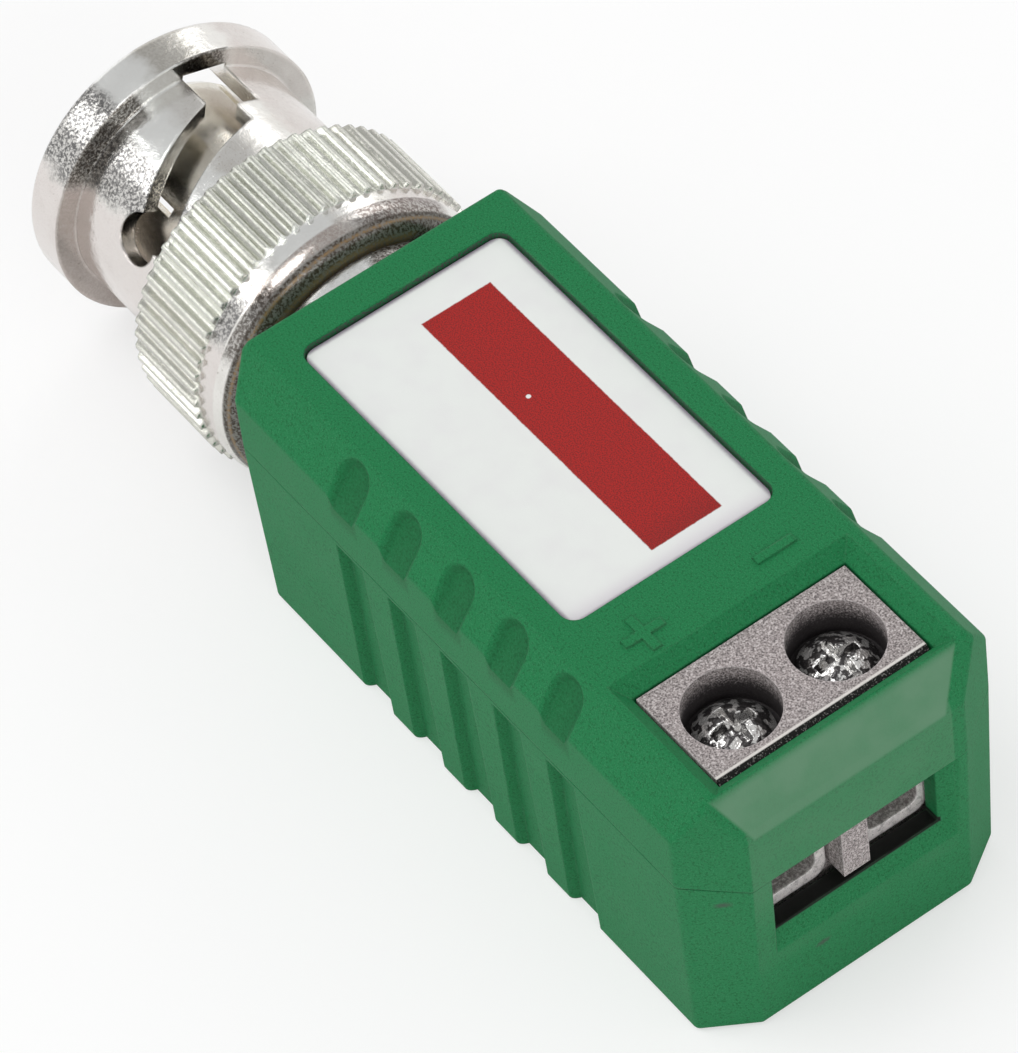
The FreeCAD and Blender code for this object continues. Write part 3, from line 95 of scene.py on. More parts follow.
@dataclass(frozen=True)
class Colour:
    """A colour, written as a screen shows it, from 0 to 255."""

    red: float
    green: float
    blue: float

    def linear(self) -> tuple[float, float, float, float]:
        """Returns the colour as linear light, with full cover."""
        return (*(self._decode(value / 255.0) for value in (self.red, self.green, self.blue)), 1.0)

    @staticmethod
    def _decode(value: float) -> float:
        """Returns one screen value as linear light."""
        return value / 12.92 if value <= 0.04045 else ((value + 0.055) / 1.055) ** 2.4


class Signal:
    """A number that varies over a surface. Python's operators on it add the graph's Math nodes."""

    def __init__(self, graph: "Graph", socket: bpy.types.NodeSocket) -> None:
        """Wraps one output socket.

        Args:
            graph: The graph that new nodes go into.
            socket: The output that carries the number.
        """
        self.graph = graph
        self.socket = socket

    def _math(self, operation: str, *values: Any) -> "Signal":
        """Returns the result of one Math node."""
        return self.graph.node("ShaderNodeMath", {"operation": operation}, dict(enumerate(values))).out()

    def __add__(self, other: Any) -> "Signal":
        """Returns the sum."""
        return self._math("ADD", self, other)

    __radd__ = __add__

    def __sub__(self, other: Any) -> "Signal":
        """Returns the difference."""
        return self._math("SUBTRACT", self, other)

    def __rsub__(self, other: Any) -> "Signal":
        """Returns the difference the other way round."""
        return self._math("SUBTRACT", other, self)

    def __mul__(self, other: Any) -> "Signal":
        """Returns the product."""
        return self._math("MULTIPLY", self, other)

    __rmul__ = __mul__

    def __truediv__(self, other: Any) -> "Signal":
        """Returns the quotient."""
        return self._math("DIVIDE", self, other)

    def __pow__(self, other: Any) -> "Signal":
        """Returns the power."""
        return self._math("POWER", self, other)

    def __neg__(self) -> "Signal":
        """Returns the number with its sign turned."""
        return self._math("MULTIPLY", self, -1.0)

    def __abs__(self) -> "Signal":
        """Returns the size of the number without its sign."""
        return self._math("ABSOLUTE", self)

    def __and__(self, other: Any) -> "Signal":
        """Returns the smaller of two masks."""
        return self._math("MINIMUM", self, other)

    def __or__(self, other: Any) -> "Signal":
        """Returns the larger of two masks."""
        return self._math("MAXIMUM", self, other)

    def nearest(self) -> "Signal":
        """Returns the nearest whole number."""
        return self._math("ROUND", self)

    def angle(self, other: "Signal") -> "Signal":
        """Returns the angle of a point, in degrees, with this number as its height and the other as its reach."""
        return self._math("ARCTAN2", self, other) * math.degrees(1.0)

    def ramp(self, low: float, high: float) -> "Signal":
        """Returns 0 below one value and 1 above the other, with a smooth rise between them.

        Args:
            low: Where the rise starts. It may be the larger value, and the result then falls.
            high: Where the rise ends.

        Returns:
            The mask.
        """
        settings = {"interpolation_type": "SMOOTHSTEP"}
        if low < high:
            return self.graph.node("ShaderNodeMapRange", settings, {0: self, 1: low, 2: high}).out()
        return 1.0 - self.ramp(high, low)


@dataclass
class Node:
    """One shader node that has been added, with its outputs at hand."""

    graph: "Graph"
    item: bpy.types.Node

    def out(self, key: int | str = 0) -> Signal:
        """Returns one output as a signal."""
        return Signal(self.graph, self.item.outputs[key])


class Graph:
    """A node tree and the one way in which nodes are added to it."""

    def __init__(self, tree: bpy.types.NodeTree) -> None:
        """Takes over a node tree and empties it."""
        self.tree = tree
        self.tree.nodes.clear()

    def node(self, kind: str, settings: dict[str, Any], inputs: dict[int | str, Any]) -> Node:
        """Adds one node.

        Args:
            kind: The node's type.
            settings: Its own settings, set before its sockets.
            inputs: Values or signals for its sockets, by number or name.

        Returns:
            The node.
        """
        item = self.tree.nodes.new(kind)
        for key, value in settings.items():
            setattr(item, key, value)
        for key, value in inputs.items():
            if isinstance(value, Signal):
                self.tree.links.new(value.socket, item.inputs[key])
            else:
                item.inputs[key].default_value = value
        return Node(self, item)

    def blend(self, first: Any, second: Any, mask: Signal) -> Signal:
        """Blends two colours.

        Args:
            first: The colour where the mask is 0.
            second: The colour where it is 1.
            mask: The mask.

        Returns:
            The blended colour.
        """
        colours = [c.linear() if isinstance(c, Colour) else c for c in (first, second)]
        settings = {"data_type": "RGBA", "clamp_factor": True}
        return self.node("ShaderNodeMix", settings, {0: mask, 6: colours[0], 7: colours[1]}).out(2)

    def coat(self, colour: Any, layers: Iterable[tuple[Any, Signal]]) -> Any:
        """Lays colours over one another in turn.

        Args:
            colour: The lowest colour.
            layers: Each further colour with its mask.

        Returns:
            The finished colour.
        """
        for layer, mask in layers:
            colour = self.blend(colour, layer, mask)
        return colour


class Shader(Graph):
    """A material's graph, with the patterns that the finishes share. Its sizes are in millimetres."""

    def __init__(self, name: str) -> None:
        """Makes a material of that name with one principled surface."""
        self.material = bpy.data.materials.new(name)
        self.material.use_nodes = True
        super().__init__(self.material.node_tree)
        self.surface = self.node("ShaderNodeBsdfPrincipled", {}, {})
        self.output = self.node("ShaderNodeOutputMaterial", {}, {"Surface": self.surface.out()})
        self.place = self.node("ShaderNodeTexCoord", {}, {}).out("Object")

    @cached_property
    def axes(self) -> tuple[Signal, Signal, Signal]:
        """The place on the surface along X, Y and Z."""
        parts = self.node("ShaderNodeSeparateXYZ", {}, {0: self.place})
        return tuple(parts.out(axis) / MM for axis in ("X", "Y", "Z"))

    def away(self, x: float, y: float) -> Signal:
        """Returns the distance from an upright line at that X and Y."""
        along, across, _ = self.axes
        return ((along - x) ** 2.0 + (across - y) ** 2.0) ** 0.5

    def noise(self, size: float, detail: float = 2.0, roughness: float = 0.5, shift: Triple = (0, 0, 0)) -> Signal:
        """Returns smooth noise from 0 to 1.

        Args:
            size: The size of one blotch.
            detail: How many finer layers are added.
            roughness: How strong the finer layers are.
            shift: Where the pattern starts, so that two uses differ.

        Returns:
            The noise.
        """
        place = self.node("ShaderNodeMapping", {}, {"Vector": self.place, "Location": shift})
        inputs = {"Vector": place.out(), "Scale": 1.0 / (size * MM), "Detail": detail, "Roughness": roughness}
        return self.node("ShaderNodeTexNoise", {}, inputs).out(0)

    def cells(self, size: float) -> Signal:
        """Returns the distance to the nearest of many scattered points, from 0 to about 1."""
        inputs = {"Vector": self.place, "Scale": 1.0 / (size * MM)}
        return self.node("ShaderNodeTexVoronoi", {}, inputs).out("Distance")

    def rounded(self, radius: float) -> Signal:
        """Returns the surface's normal with its sharp edges softened."""
        return self.node("ShaderNodeBevel", {"samples": 6}, {"Radius": radius * MM}).out()

    def edge_mask(self, radius: float, low: float, high: float) -> Signal:
        """Finds sharp edges by how far a softened normal turns away from the true one.

        Args:
            radius: How far from an edge the mask reaches.
            low: The turn at which the mask starts.
            high: The turn at which it is full.

        Returns:
            The mask, 1 near sharp edges.
        """
        true_normal = self.node("ShaderNodeNewGeometry", {}, {}).out("Normal")
        inputs = {0: self.rounded(radius), 1: true_normal}
        turn = self.node("ShaderNodeVectorMath", {"operation": "DOT_PRODUCT"}, inputs).out("Value")
        return (1.0 - turn).ramp(low, high)

    def relief(self, height: Signal, depth: float, base: Signal | None = None) -> Signal:
        """Bumps a normal by a height.

        Args:
            height: The height, from 0 to 1.
            depth: How deep 1 is.
            base: A normal to bump instead of the surface's own.

        Returns:
            The normal.
        """
        inputs: dict[int | str, Any] = {"Strength": 1.0, "Distance": depth * MM, "Height": height}
        if base is not None:
            inputs["Normal"] = base
        return self.node("ShaderNodeBump", {}, inputs).out()

    def set(self, **values: Any) -> None:
        """Sets the surface's sockets.

        Args:
            **values: A value or a signal for each socket. A name's underscores stand for spaces.
        """
        for name, value in values.items():
            socket = self.surface.item.inputs[name.replace("_", " ")]
            if isinstance(value, Signal):
                self.tree.links.new(value.socket, socket)
            else:
                socket.default_value = value.linear() if isinstance(value, Colour) else value


# Places on the object that a finish treats in their own way. A field of two numbers says where a mask starts to
# change and where it has changed.


@dataclass(frozen=True)
class ScoopRow:
    """The scoops at the heads of the grip grooves, darkened with painted shade in their hollows."""

    first: float = -7.1
    pitch: float = 3.55
    count: int = 5
    foot: Pair = (11.2, 12.0)
    arch: float = 13.84
    arch_lean: float = 1.43
    edge: Pair = (1.02, 0.72)
    side: Pair = (5.9, 6.2)

    def mask(self, shader: Shader) -> Signal:
        """Marks the scoops.

        Args:
            shader: The material's graph.

        Returns:
            The mask, 1 in the scoops.
        """
        along, across, up = shader.axes
        step = (along - self.first) / self.pitch
        nearest = step.nearest()
        off = abs(step - nearest) * self.pitch
        middle = (self.count - 1) / 2
        in_row = abs(nearest - middle).ramp(middle + 0.4, middle + 0.2)
        away = (off ** 2.0 + ((up - self.arch) | 0.0) ** 2.0 * self.arch_lean) ** 0.5
        return away.ramp(*self.edge) & up.ramp(*self.foot) & abs(across).ramp(*self.side) & in_row


@dataclass(frozen=True)
class WindowSill:
    """The wire window's lower ledge, with painted pale light on its rim and painted deep shade behind it."""

    low: Pair = (5.02, 5.1)
    high: Pair = (5.4, 5.3)
    start: Pair = (14.5, 14.6)
    side: Pair = (4.25, 4.15)
    shade_end: Pair = (15.86, 15.74)
    shade_side: Pair = (4.2, 4.12)

    def ledge(self, shader: Shader) -> Signal:
        """Returns 1 on the whole ledge."""
        along, across, up = shader.axes
        return up.ramp(*self.low) & up.ramp(*self.high) & along.ramp(*self.start) & abs(across).ramp(*self.side)

    def shade(self, shader: Shader) -> Signal:
        """Returns 1 on the shaded part of the ledge."""
        along, across, _ = shader.axes
        return self.ledge(shader) & along.ramp(*self.shade_end) & abs(across).ramp(*self.shade_side)


@dataclass(frozen=True)
class FrontSheen:
    """A painted sheen on the front bevel, which narrows downwards, and painted light that makes the face below it
    paler.
    """

    middle: float = -0.25
    bevel_start: Pair = (15.18, 15.42)
    bevel_foot: Pair = (12.0, 12.25)
    lean_foot: float = 12.38
    lean: float = 0.5
    lean_side: Pair = (-4.86, -4.66)
    face_start: Pair = (15.98, 16.08)
    face_side: Pair = (5.0, 4.75)

    def bevel(self, shader: Shader) -> Signal:
        """Returns 1 on the bevel."""
        along, across, up = shader.axes
        sides = ((up - self.lean_foot) * self.lean - abs(across - self.middle)).ramp(*self.lean_side)
        return along.ramp(*self.bevel_start) & up.ramp(*self.bevel_foot) & sides

    def face(self, shader: Shader) -> Signal:
        """Returns 1 on the flat front face."""
        along, across, _ = shader.axes
        return along.ramp(*self.face_start) & abs(across - self.middle).ramp(*self.face_side)


@dataclass(frozen=True)
class LabelRecess:
    """The walls of the label's recess, painted dark grey as dirt and as shade."""

    centre: float = -4.17
    length: Pair = (9.32, 9.27)
    width: Pair = (5.14, 5.09)
    floor: Pair = (14.3, 14.36)
    rim: Pair = (14.79, 14.72)

    def mask(self, shader: Shader) -> Signal:
        """Returns 1 on the walls."""
        along, across, up = shader.axes
        inside = abs(along - self.centre).ramp(*self.length) & abs(across).ramp(*self.width)
        return inside & up.ramp(*self.floor) & up.ramp(*self.rim)


@dataclass(frozen=True)
class Nick:
    """A small dark scuff."""

    place: Triple
    squeeze: Triple = (0.6, 0.8, 1.7)
    edge: Pair = (0.5, 0.16)

    def mask(self, shader: Shader, speck: Signal) -> Signal:
        """Marks the scuff.

        Args:
            shader: The material's graph.
            speck: Fine noise that makes its edge uneven.

        Returns:
            The mask, 1 on the scuff.
        """
        x, y, z = (((axis - at) * by) ** 2.0 for axis, at, by in zip(shader.axes, self.place, self.squeeze))
        return ((x + y + z) ** 0.5 + speck * 0.2).ramp(*self.edge)


@dataclass(frozen=True)
class PrintArea:
    """A printed rectangle, placed along X and Y, with a soft edge."""

    centre: Pair
    half: Pair
    soft: float

    def mask(self, shader: Shader, ragged: Signal) -> Signal:
        """Marks the rectangle.

        Args:
            shader: The material's graph.
            ragged: Noise that moves its edge in and out.

        Returns:
            The mask, 1 inside.
        """
        along, across, _ = shader.axes
        from_end = self.half[0] - abs(along - self.centre[0])
        from_side = self.half[1] - abs(across - self.centre[1])
        return ((from_end & from_side) + ragged).ramp(0.0, self.soft)


@dataclass(frozen=True)
class Zone:
    """A zone of colour on the turned metal, between two angles and two places along the axis. Most zones are painted
    reflections and painted highlights, with tarnished colour among them.

    Angles are in degrees and grow from the side at -Y over the top. matt says how far the zone lowers the metal's
    mirror, and below 0 it raises it.
    """

    angles: Pair
    along: Pair
    colour: Colour
    cover: float
    fleck: float = 0.6
    matt: float = 0.0
    soft: float = 4.0
    end_soft: float = 0.06
    wander: float = 16.0
    axis_height: float = 7.4

    def mask(self, shader: Shader, grain: Signal, drift: Signal) -> Signal:
        """Returns how much of the zone's colour covers the metal.

        Args:
            shader: The material's graph.
            grain: Fine noise that breaks the zone into flecks.
            drift: Slow noise that makes its edges uneven.

        Returns:
            The mask.
        """
        along, across, up = shader.axes
        turn = (up - self.axis_height).angle(-across) + (drift - 0.5) * self.wander
        low, high = self.angles
        round_it = turn.ramp(low - self.soft, low + self.soft) & turn.ramp(high + self.soft, high - self.soft)
        front, back = self.along
        behind = along.ramp(front - self.end_soft, front + self.end_soft)
        ahead = along.ramp(back + self.end_soft, back - self.end_soft)
        return (round_it & (behind & ahead)) * self.cover * (1.0 - grain.ramp(0.40, 0.62) * self.fleck)


@dataclass(frozen=True)
class ScrewWell:
    """A screw's well, with painted shade that darkens with depth below the block's top."""

    place: Triple
    edge: Pair = (2.06, 2.02)
    darkening: Pair = (0.05, 1.15)
    floor: Pair = (11.5, 11.9)

    def mask(self, shader: Shader, speckle: Signal) -> Signal:
        """Returns 1 deep in the well, with a speckled passage."""
        x, y, top = self.place
        up = shader.axes[2]
        down = (up + (speckle - 0.5) * 0.9).ramp(*(top - depth for depth in self.darkening))
        return shader.away(x, y).ramp(*self.edge) & up.ramp(*self.floor) & down


@dataclass(frozen=True)
class FrontEdge:
    """The block's front edge: a pale line along its top and painted shade on the slope below it."""

    line_start: Pair = (14.07, 14.14)
    line_foot: Pair = (14.13, 14.14)
    slope_start: Pair = (14.21, 14.25)
    slope_foot: Pair = (11.55, 11.65)

    def line(self, shader: Shader) -> Signal:
        """Returns 1 on the pale line."""
        along, _, up = shader.axes
        return along.ramp(*self.line_start) & up.ramp(*self.line_foot)

    def slope(self, shader: Shader) -> Signal:
        """Returns 1 on the slope."""
        along, _, up = shader.axes
        return along.ramp(*self.slope_start) & up.ramp(*self.slope_foot)


@dataclass(frozen=True)
class MouldedGreen:
    """The housing's green plastic: fine matte grain, painted light that makes it paler low on the sides and on the
    front, painted shade in its hollows, and worn edges.
    """

    scoops: ScoopRow
    sill: WindowSill
    front: FrontSheen
    recess: LabelRecess
    nicks: tuple[Nick, ...]
    slot: Slot = Slot.HOUSING
    body: Colour = Colour(22, 117, 67)
    dull: Colour = Colour(29, 119, 70)
    pale: Colour = Colour(60, 140, 96)
    deep: Colour = Colour(6, 80, 40)
    shade_and_grime: Colour = Colour(70, 70, 70)
    rubbed_and_sheen: Colour = Colour(96, 138, 108)
    shade: Colour = Colour(14, 16, 14)
    cloud_size: float = 2.6
    grain_size: float = 0.10
    speck_size: float = 0.05
    ripple_size: float = 0.3
    side_light_heights: Pair = (13.4, 11.0)
    face_sheen_heights: Pair = (5.5, 9.5)
    worn_width: float = 0.18
    soften: float = 0.12
    skin: float = 0.008
    rough: float = 0.56
    gloss: float = 0.22

    def build(self) -> bpy.types.Material:
        """Mixes the finish.

        Returns:
            The material.
        """
        shader = Shader(self.slot.value)
        up = shader.axes[2]
        clouds = shader.noise(self.cloud_size, detail=3.0)
        grain = shader.noise(self.grain_size, detail=1.0)
        speck = shader.noise(self.speck_size, detail=0.0, shift=(3.0, 1.0, 2.0))
        # Painted light: the lower sides turn paler, mixed with random clouds.
        side_light_and_clouds = clouds.ramp(0.3, 0.75) * 0.25 + up.ramp(*self.side_light_heights) * 0.7
        # Painted light: the front face grows paler upwards.
        face_sheen = up.ramp(*self.face_sheen_heights) * 0.26 + clouds.ramp(0.3, 0.7) * 0.12
        worn = shader.edge_mask(self.worn_width, 0.02, 0.25) * clouds.ramp(0.4, 0.6)
        colour = shader.coat(self.body, (
            (self.dull, side_light_and_clouds & 1.0),
            (self.deep, grain.ramp(0.45, 0.75) * 0.6),
            (self.pale, speck.ramp(0.5, 0.8) * 0.4),
            # Painted shade in the scoops.
            (self.deep, self.scoops.mask(shader) * (0.2 + grain * 0.5)),
            # Painted light on the sill's ledge, then painted shade behind it.
            (self.pale, self.sill.ledge(shader) * 0.7),
            (self.shade, self.sill.shade(shader)),
            # Painted sheen on the front face and bevel. The worn edges after them are real wear in the same colour.
            (self.rubbed_and_sheen, self.front.face(shader) & face_sheen),
            (self.rubbed_and_sheen, self.front.bevel(shader) * (0.74 + clouds.ramp(0.35, 0.65) * 0.26)),
            (self.rubbed_and_sheen, worn * 0.35),
            # Dirt and painted shade on the walls of the label's recess.
            (self.shade_and_grime, self.recess.mask(shader) * speck.ramp(0.35, 0.6)),
            *((self.shade_and_grime, nick.mask(shader, speck) * 0.7) for nick in self.nicks),
        ))
        relief = grain * 0.6 + shader.noise(self.ripple_size, detail=2.0) * 0.4
        shader.set(
            Base_Color=colour,
            Roughness=self.rough + clouds * 0.12,
            Specular_IOR_Level=self.gloss,
            Normal=shader.relief(relief, self.skin, shader.rounded(self.soften)),
        )
        return shader.material


@dataclass(frozen=True)
class PrintedLabel:
    """The label's satin film with its one red field, greyed along its rim and pinker towards the terminals."""

    whole: PrintArea
    red: PrintArea
    pinhole: Pair
    pinhole_edge: Pair = (0.13, 0.08)
    slot: Slot = Slot.LABEL
    film: Colour = Colour(228, 231, 228)
    margin: Colour = Colour(214, 206, 214)
    rim: Colour = Colour(142, 132, 146)
    field: Colour = Colour(170, 10, 2)
    field_dark: Colour = Colour(124, 8, 4)
    ragged_size: float = 0.14
    ragged: float = 0.05
    fine_size: float = 0.06
    cloud_size: float = 1.8
    pink_start: Pair = (3.9, 4.9)
    field_fade: Pair = (2.2, 4.0)
    skin: float = 0.006
    rough: float = 0.46
    gloss: float = 0.4

    def build(self) -> bpy.types.Material:
        """Mixes the finish.

        Returns:
            The material.
        """
        shader = Shader(self.slot.value)
        along = shader.axes[0]
        ragged = (shader.noise(self.ragged_size, detail=2.0) - 0.5) * self.ragged
        fine = shader.noise(self.fine_size, detail=1.0)
        clouds = shader.noise(self.cloud_size, detail=2.0)
        film = shader.coat(self.film, (
            (self.margin, clouds.ramp(0.35, 0.8) * 0.2),
            (self.margin, along.ramp(*self.pink_start) * 0.6),
        ))
        aged = fine.ramp(0.42, 0.62) + along.ramp(*self.field_fade) * 0.35
        colour = shader.coat(self.rim, (
            (film, self.whole.mask(shader, ragged)),
            (shader.blend(self.field, self.field_dark, aged), self.red.mask(shader, ragged)),
            (self.film, shader.away(*self.pinhole).ramp(*self.pinhole_edge)),
        ))
        shader.set(
            Base_Color=colour,
            Roughness=self.rough + fine * 0.14,
            Specular_IOR_Level=self.gloss,
            Normal=shader.relief(fine * 0.5 + clouds * 0.5, self.skin),
        )
        return shader.material


@dataclass(frozen=True)
class Plating:
    """Bright metal plate with a fine grain, pits, dull patches, worn edges and zones of painted reflection, painted
    shade and tarnished colour.
    """

    slot: Slot
    base: Colour
    stain: Colour
    polish: float = 0.10
    dull: float = 0.24
    pit: float = 0.22
    patch: float = 1.6
    soften: float = 0.10
    skin: float = 0.009
    staining: float = 0.4
    metal: float = 1.0
    dents: float = 0.0
    dent_size: float = 0.4
    blotch: Colour = Colour(46, 42, 44)
    blotching: float = 0.0
    grain_size: float = 0.075
    fleck_size: float = 0.13
    rub_width: float = 0.12
    zones: tuple[Zone, ...] = ()

    def build(self) -> bpy.types.Material:
        """Mixes the finish.

        Returns:
            The material.
        """
        shader = Shader(self.slot.value)
        patches = shader.noise(self.patch, detail=3.0, roughness=0.6)
        grain = shader.noise(self.grain_size, detail=2.0, roughness=0.6)
        pits = shader.cells(self.pit).ramp(0.22, 0.05) * patches.ramp(0.42, 0.6)
        colour = shader.coat(self.base, (
            (self.stain, patches.ramp(0.42, 0.85) * self.staining),
            (self.stain, grain.ramp(0.56, 0.74) * self.staining),
            (self.stain, pits * 0.7),
        ))
        blobs = shader.noise(self.dent_size, detail=2.0, roughness=0.6, shift=(0.7, 0.2, 0.4))
        if self.blotching:
            colour = shader.blend(colour, self.blotch, blobs.ramp(0.47, 0.53) * self.blotching)
        fleck = shader.noise(self.fleck_size, detail=2.0, roughness=0.7, shift=(0.1, 0.5, 0.9))
        metal: Signal | float = self.metal
        for zone in self.zones:
            mask = zone.mask(shader, fleck, patches)
            colour = shader.blend(colour, zone.colour, mask)
            if zone.matt:
                metal = metal - mask * zone.matt
        rub = shader.edge_mask(self.rub_width, 0.02, 0.3)
        rough = self.polish + patches.ramp(0.3, 0.75) * (self.dull - self.polish) + grain.ramp(0.4, 0.8) * 0.08
        normal = shader.rounded(self.soften)
        if self.dents:
            normal = shader.relief(blobs, self.dents, normal)
        shader.set(
            Base_Color=colour,
            Metallic=(metal | 0.0) if isinstance(metal, Signal) else metal,
            Roughness=(rough - rub * 0.06) | 0.05,
            Normal=shader.relief(grain * 0.45 + (1.0 - pits) * 0.55, self.skin, normal),
        )
        return shader.material


@dataclass(frozen=True)
class Speckled:
    """A matte solid with fine speckle, such as the terminal block's grey plastic, with painted shade in screw wells
    and below a front edge where these are given.
    """

    slot: Slot
    base: Colour
    light: Colour
    dark: Colour
    rough: float = 0.6
    grain: float = 0.055
    cloud_size: float = 1.5
    soften: float = 0.10
    skin: float = 0.010
    edge_width: float = 0.12
    edge_light: float = 0.6
    gloss: float = 0.4
    shade_and_grime: Colour = Colour(26, 22, 24)
    edge_pale: Colour = Colour(226, 220, 216)
    wells: tuple[ScrewWell, ...] = ()
    edge: FrontEdge | None = None

    def build(self) -> bpy.types.Material:
        """Mixes the finish.

        Returns:
            The material.
        """
        shader = Shader(self.slot.value)
        speckle = shader.noise(self.grain, detail=1.0)
        clouds = shader.noise(self.cloud_size, detail=3.0)
        layers = [
            (self.light, speckle.ramp(0.52, 0.7) * 0.8),
            (self.dark, speckle.ramp(0.48, 0.32) * 0.8),
            (self.dark, clouds.ramp(0.55, 0.85) * 0.25),
            (self.light, shader.edge_mask(self.edge_width, 0.02, 0.25) * self.edge_light),
            # Painted shade deep in the screw wells.
            *((self.shade_and_grime, well.mask(shader, speckle) * 0.95) for well in self.wells),
        ]
        # A pale line along the front edge, and painted shade on the slope below it.
        if self.edge:
            layers.append((self.edge_pale, self.edge.line(shader) * (1.0 - speckle.ramp(0.5, 0.75) * 0.5)))
            layers.append((self.shade_and_grime, self.edge.slope(shader) * (1.0 - speckle.ramp(0.55, 0.75) * 0.5)))
        shader.set(
            Base_Color=shader.coat(self.base, layers),
            Roughness=self.rough + speckle * 0.15,
            Specular_IOR_Level=self.gloss,
            Normal=shader.relief(speckle, self.skin, shader.rounded(self.soften)),
        )
        return shader.material


Finish = MouldedGreen | PrintedLabel | Plating | Speckled
# The dark flecked colour and the pale colour here are painted on the nut as its dark mirrored bands and its painted
# highlights.
DARK_REFLECTION = Colour(70, 70, 72)
BROWN = Colour(62, 52, 42)
PAINTED_HIGHLIGHT = Colour(252, 253, 251)
ALL_ROUND = (-190.0, 190.0)


@dataclass
class SubAssembly:
    """Pieces that a maker puts together first, with the finish of each."""

    frame: dict[str, Any]

    def finishes(self) -> dict[str, Finish]:
        """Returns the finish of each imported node."""
        raise NotImplementedError

    def build(self) -> dict[str, Slot]:
        """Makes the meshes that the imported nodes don't hold, which most sub-assemblies need none of.

        Returns:
            The slot of each new piece.
        """
        return {}

    def dress(self) -> dict[str, Slot]:
        """Gives every piece its finish.

        Returns:
            The slot of each piece.
        """
        made: dict[Slot, bpy.types.Material] = {}
        dressed: dict[str, Slot] = {}
        for name, finish in self.finishes().items():
            if finish.slot not in made:
                made[finish.slot] = finish.build()
            node = self.frame["nodes"][name]
            node.data.materials.clear()
            node.data.materials.append(made[finish.slot])
            dressed[name] = finish.slot
        for name, slot in self.build().items():
            piece = bpy.data.objects[name]
            piece.data.materials.append(made[slot])
            dressed[name] = slot
        return dressed


@dataclass
class Housing(SubAssembly):
    """The two green shells and the label on the upper one."""

    scoops: ScoopRow = ScoopRow()
    sill: WindowSill = WindowSill()
    front: FrontSheen = FrontSheen()
    recess: LabelRecess = LabelRecess()
    nicks: tuple[Nick, ...] = (Nick((15.55, -6.25, 8.45)), Nick((16.0, -2.1, 2.9)))
    label: PrintArea = PrintArea((-4.17, 0.0), (9.15, 5.0), 0.26)
    red_field: PrintArea = PrintArea((-3.795, 1.39), (7.745, 1.76), 0.07)
    pinhole: Pair = (-5.6, 0.69)

    def finishes(self) -> dict[str, Finish]:
        """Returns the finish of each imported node."""
        green = MouldedGreen(self.scoops, self.sill, self.front, self.recess, self.nicks)
        film = PrintedLabel(self.label, self.red_field, self.pinhole)
        return {"lower_shell": green, "upper_shell": green, "label": film}


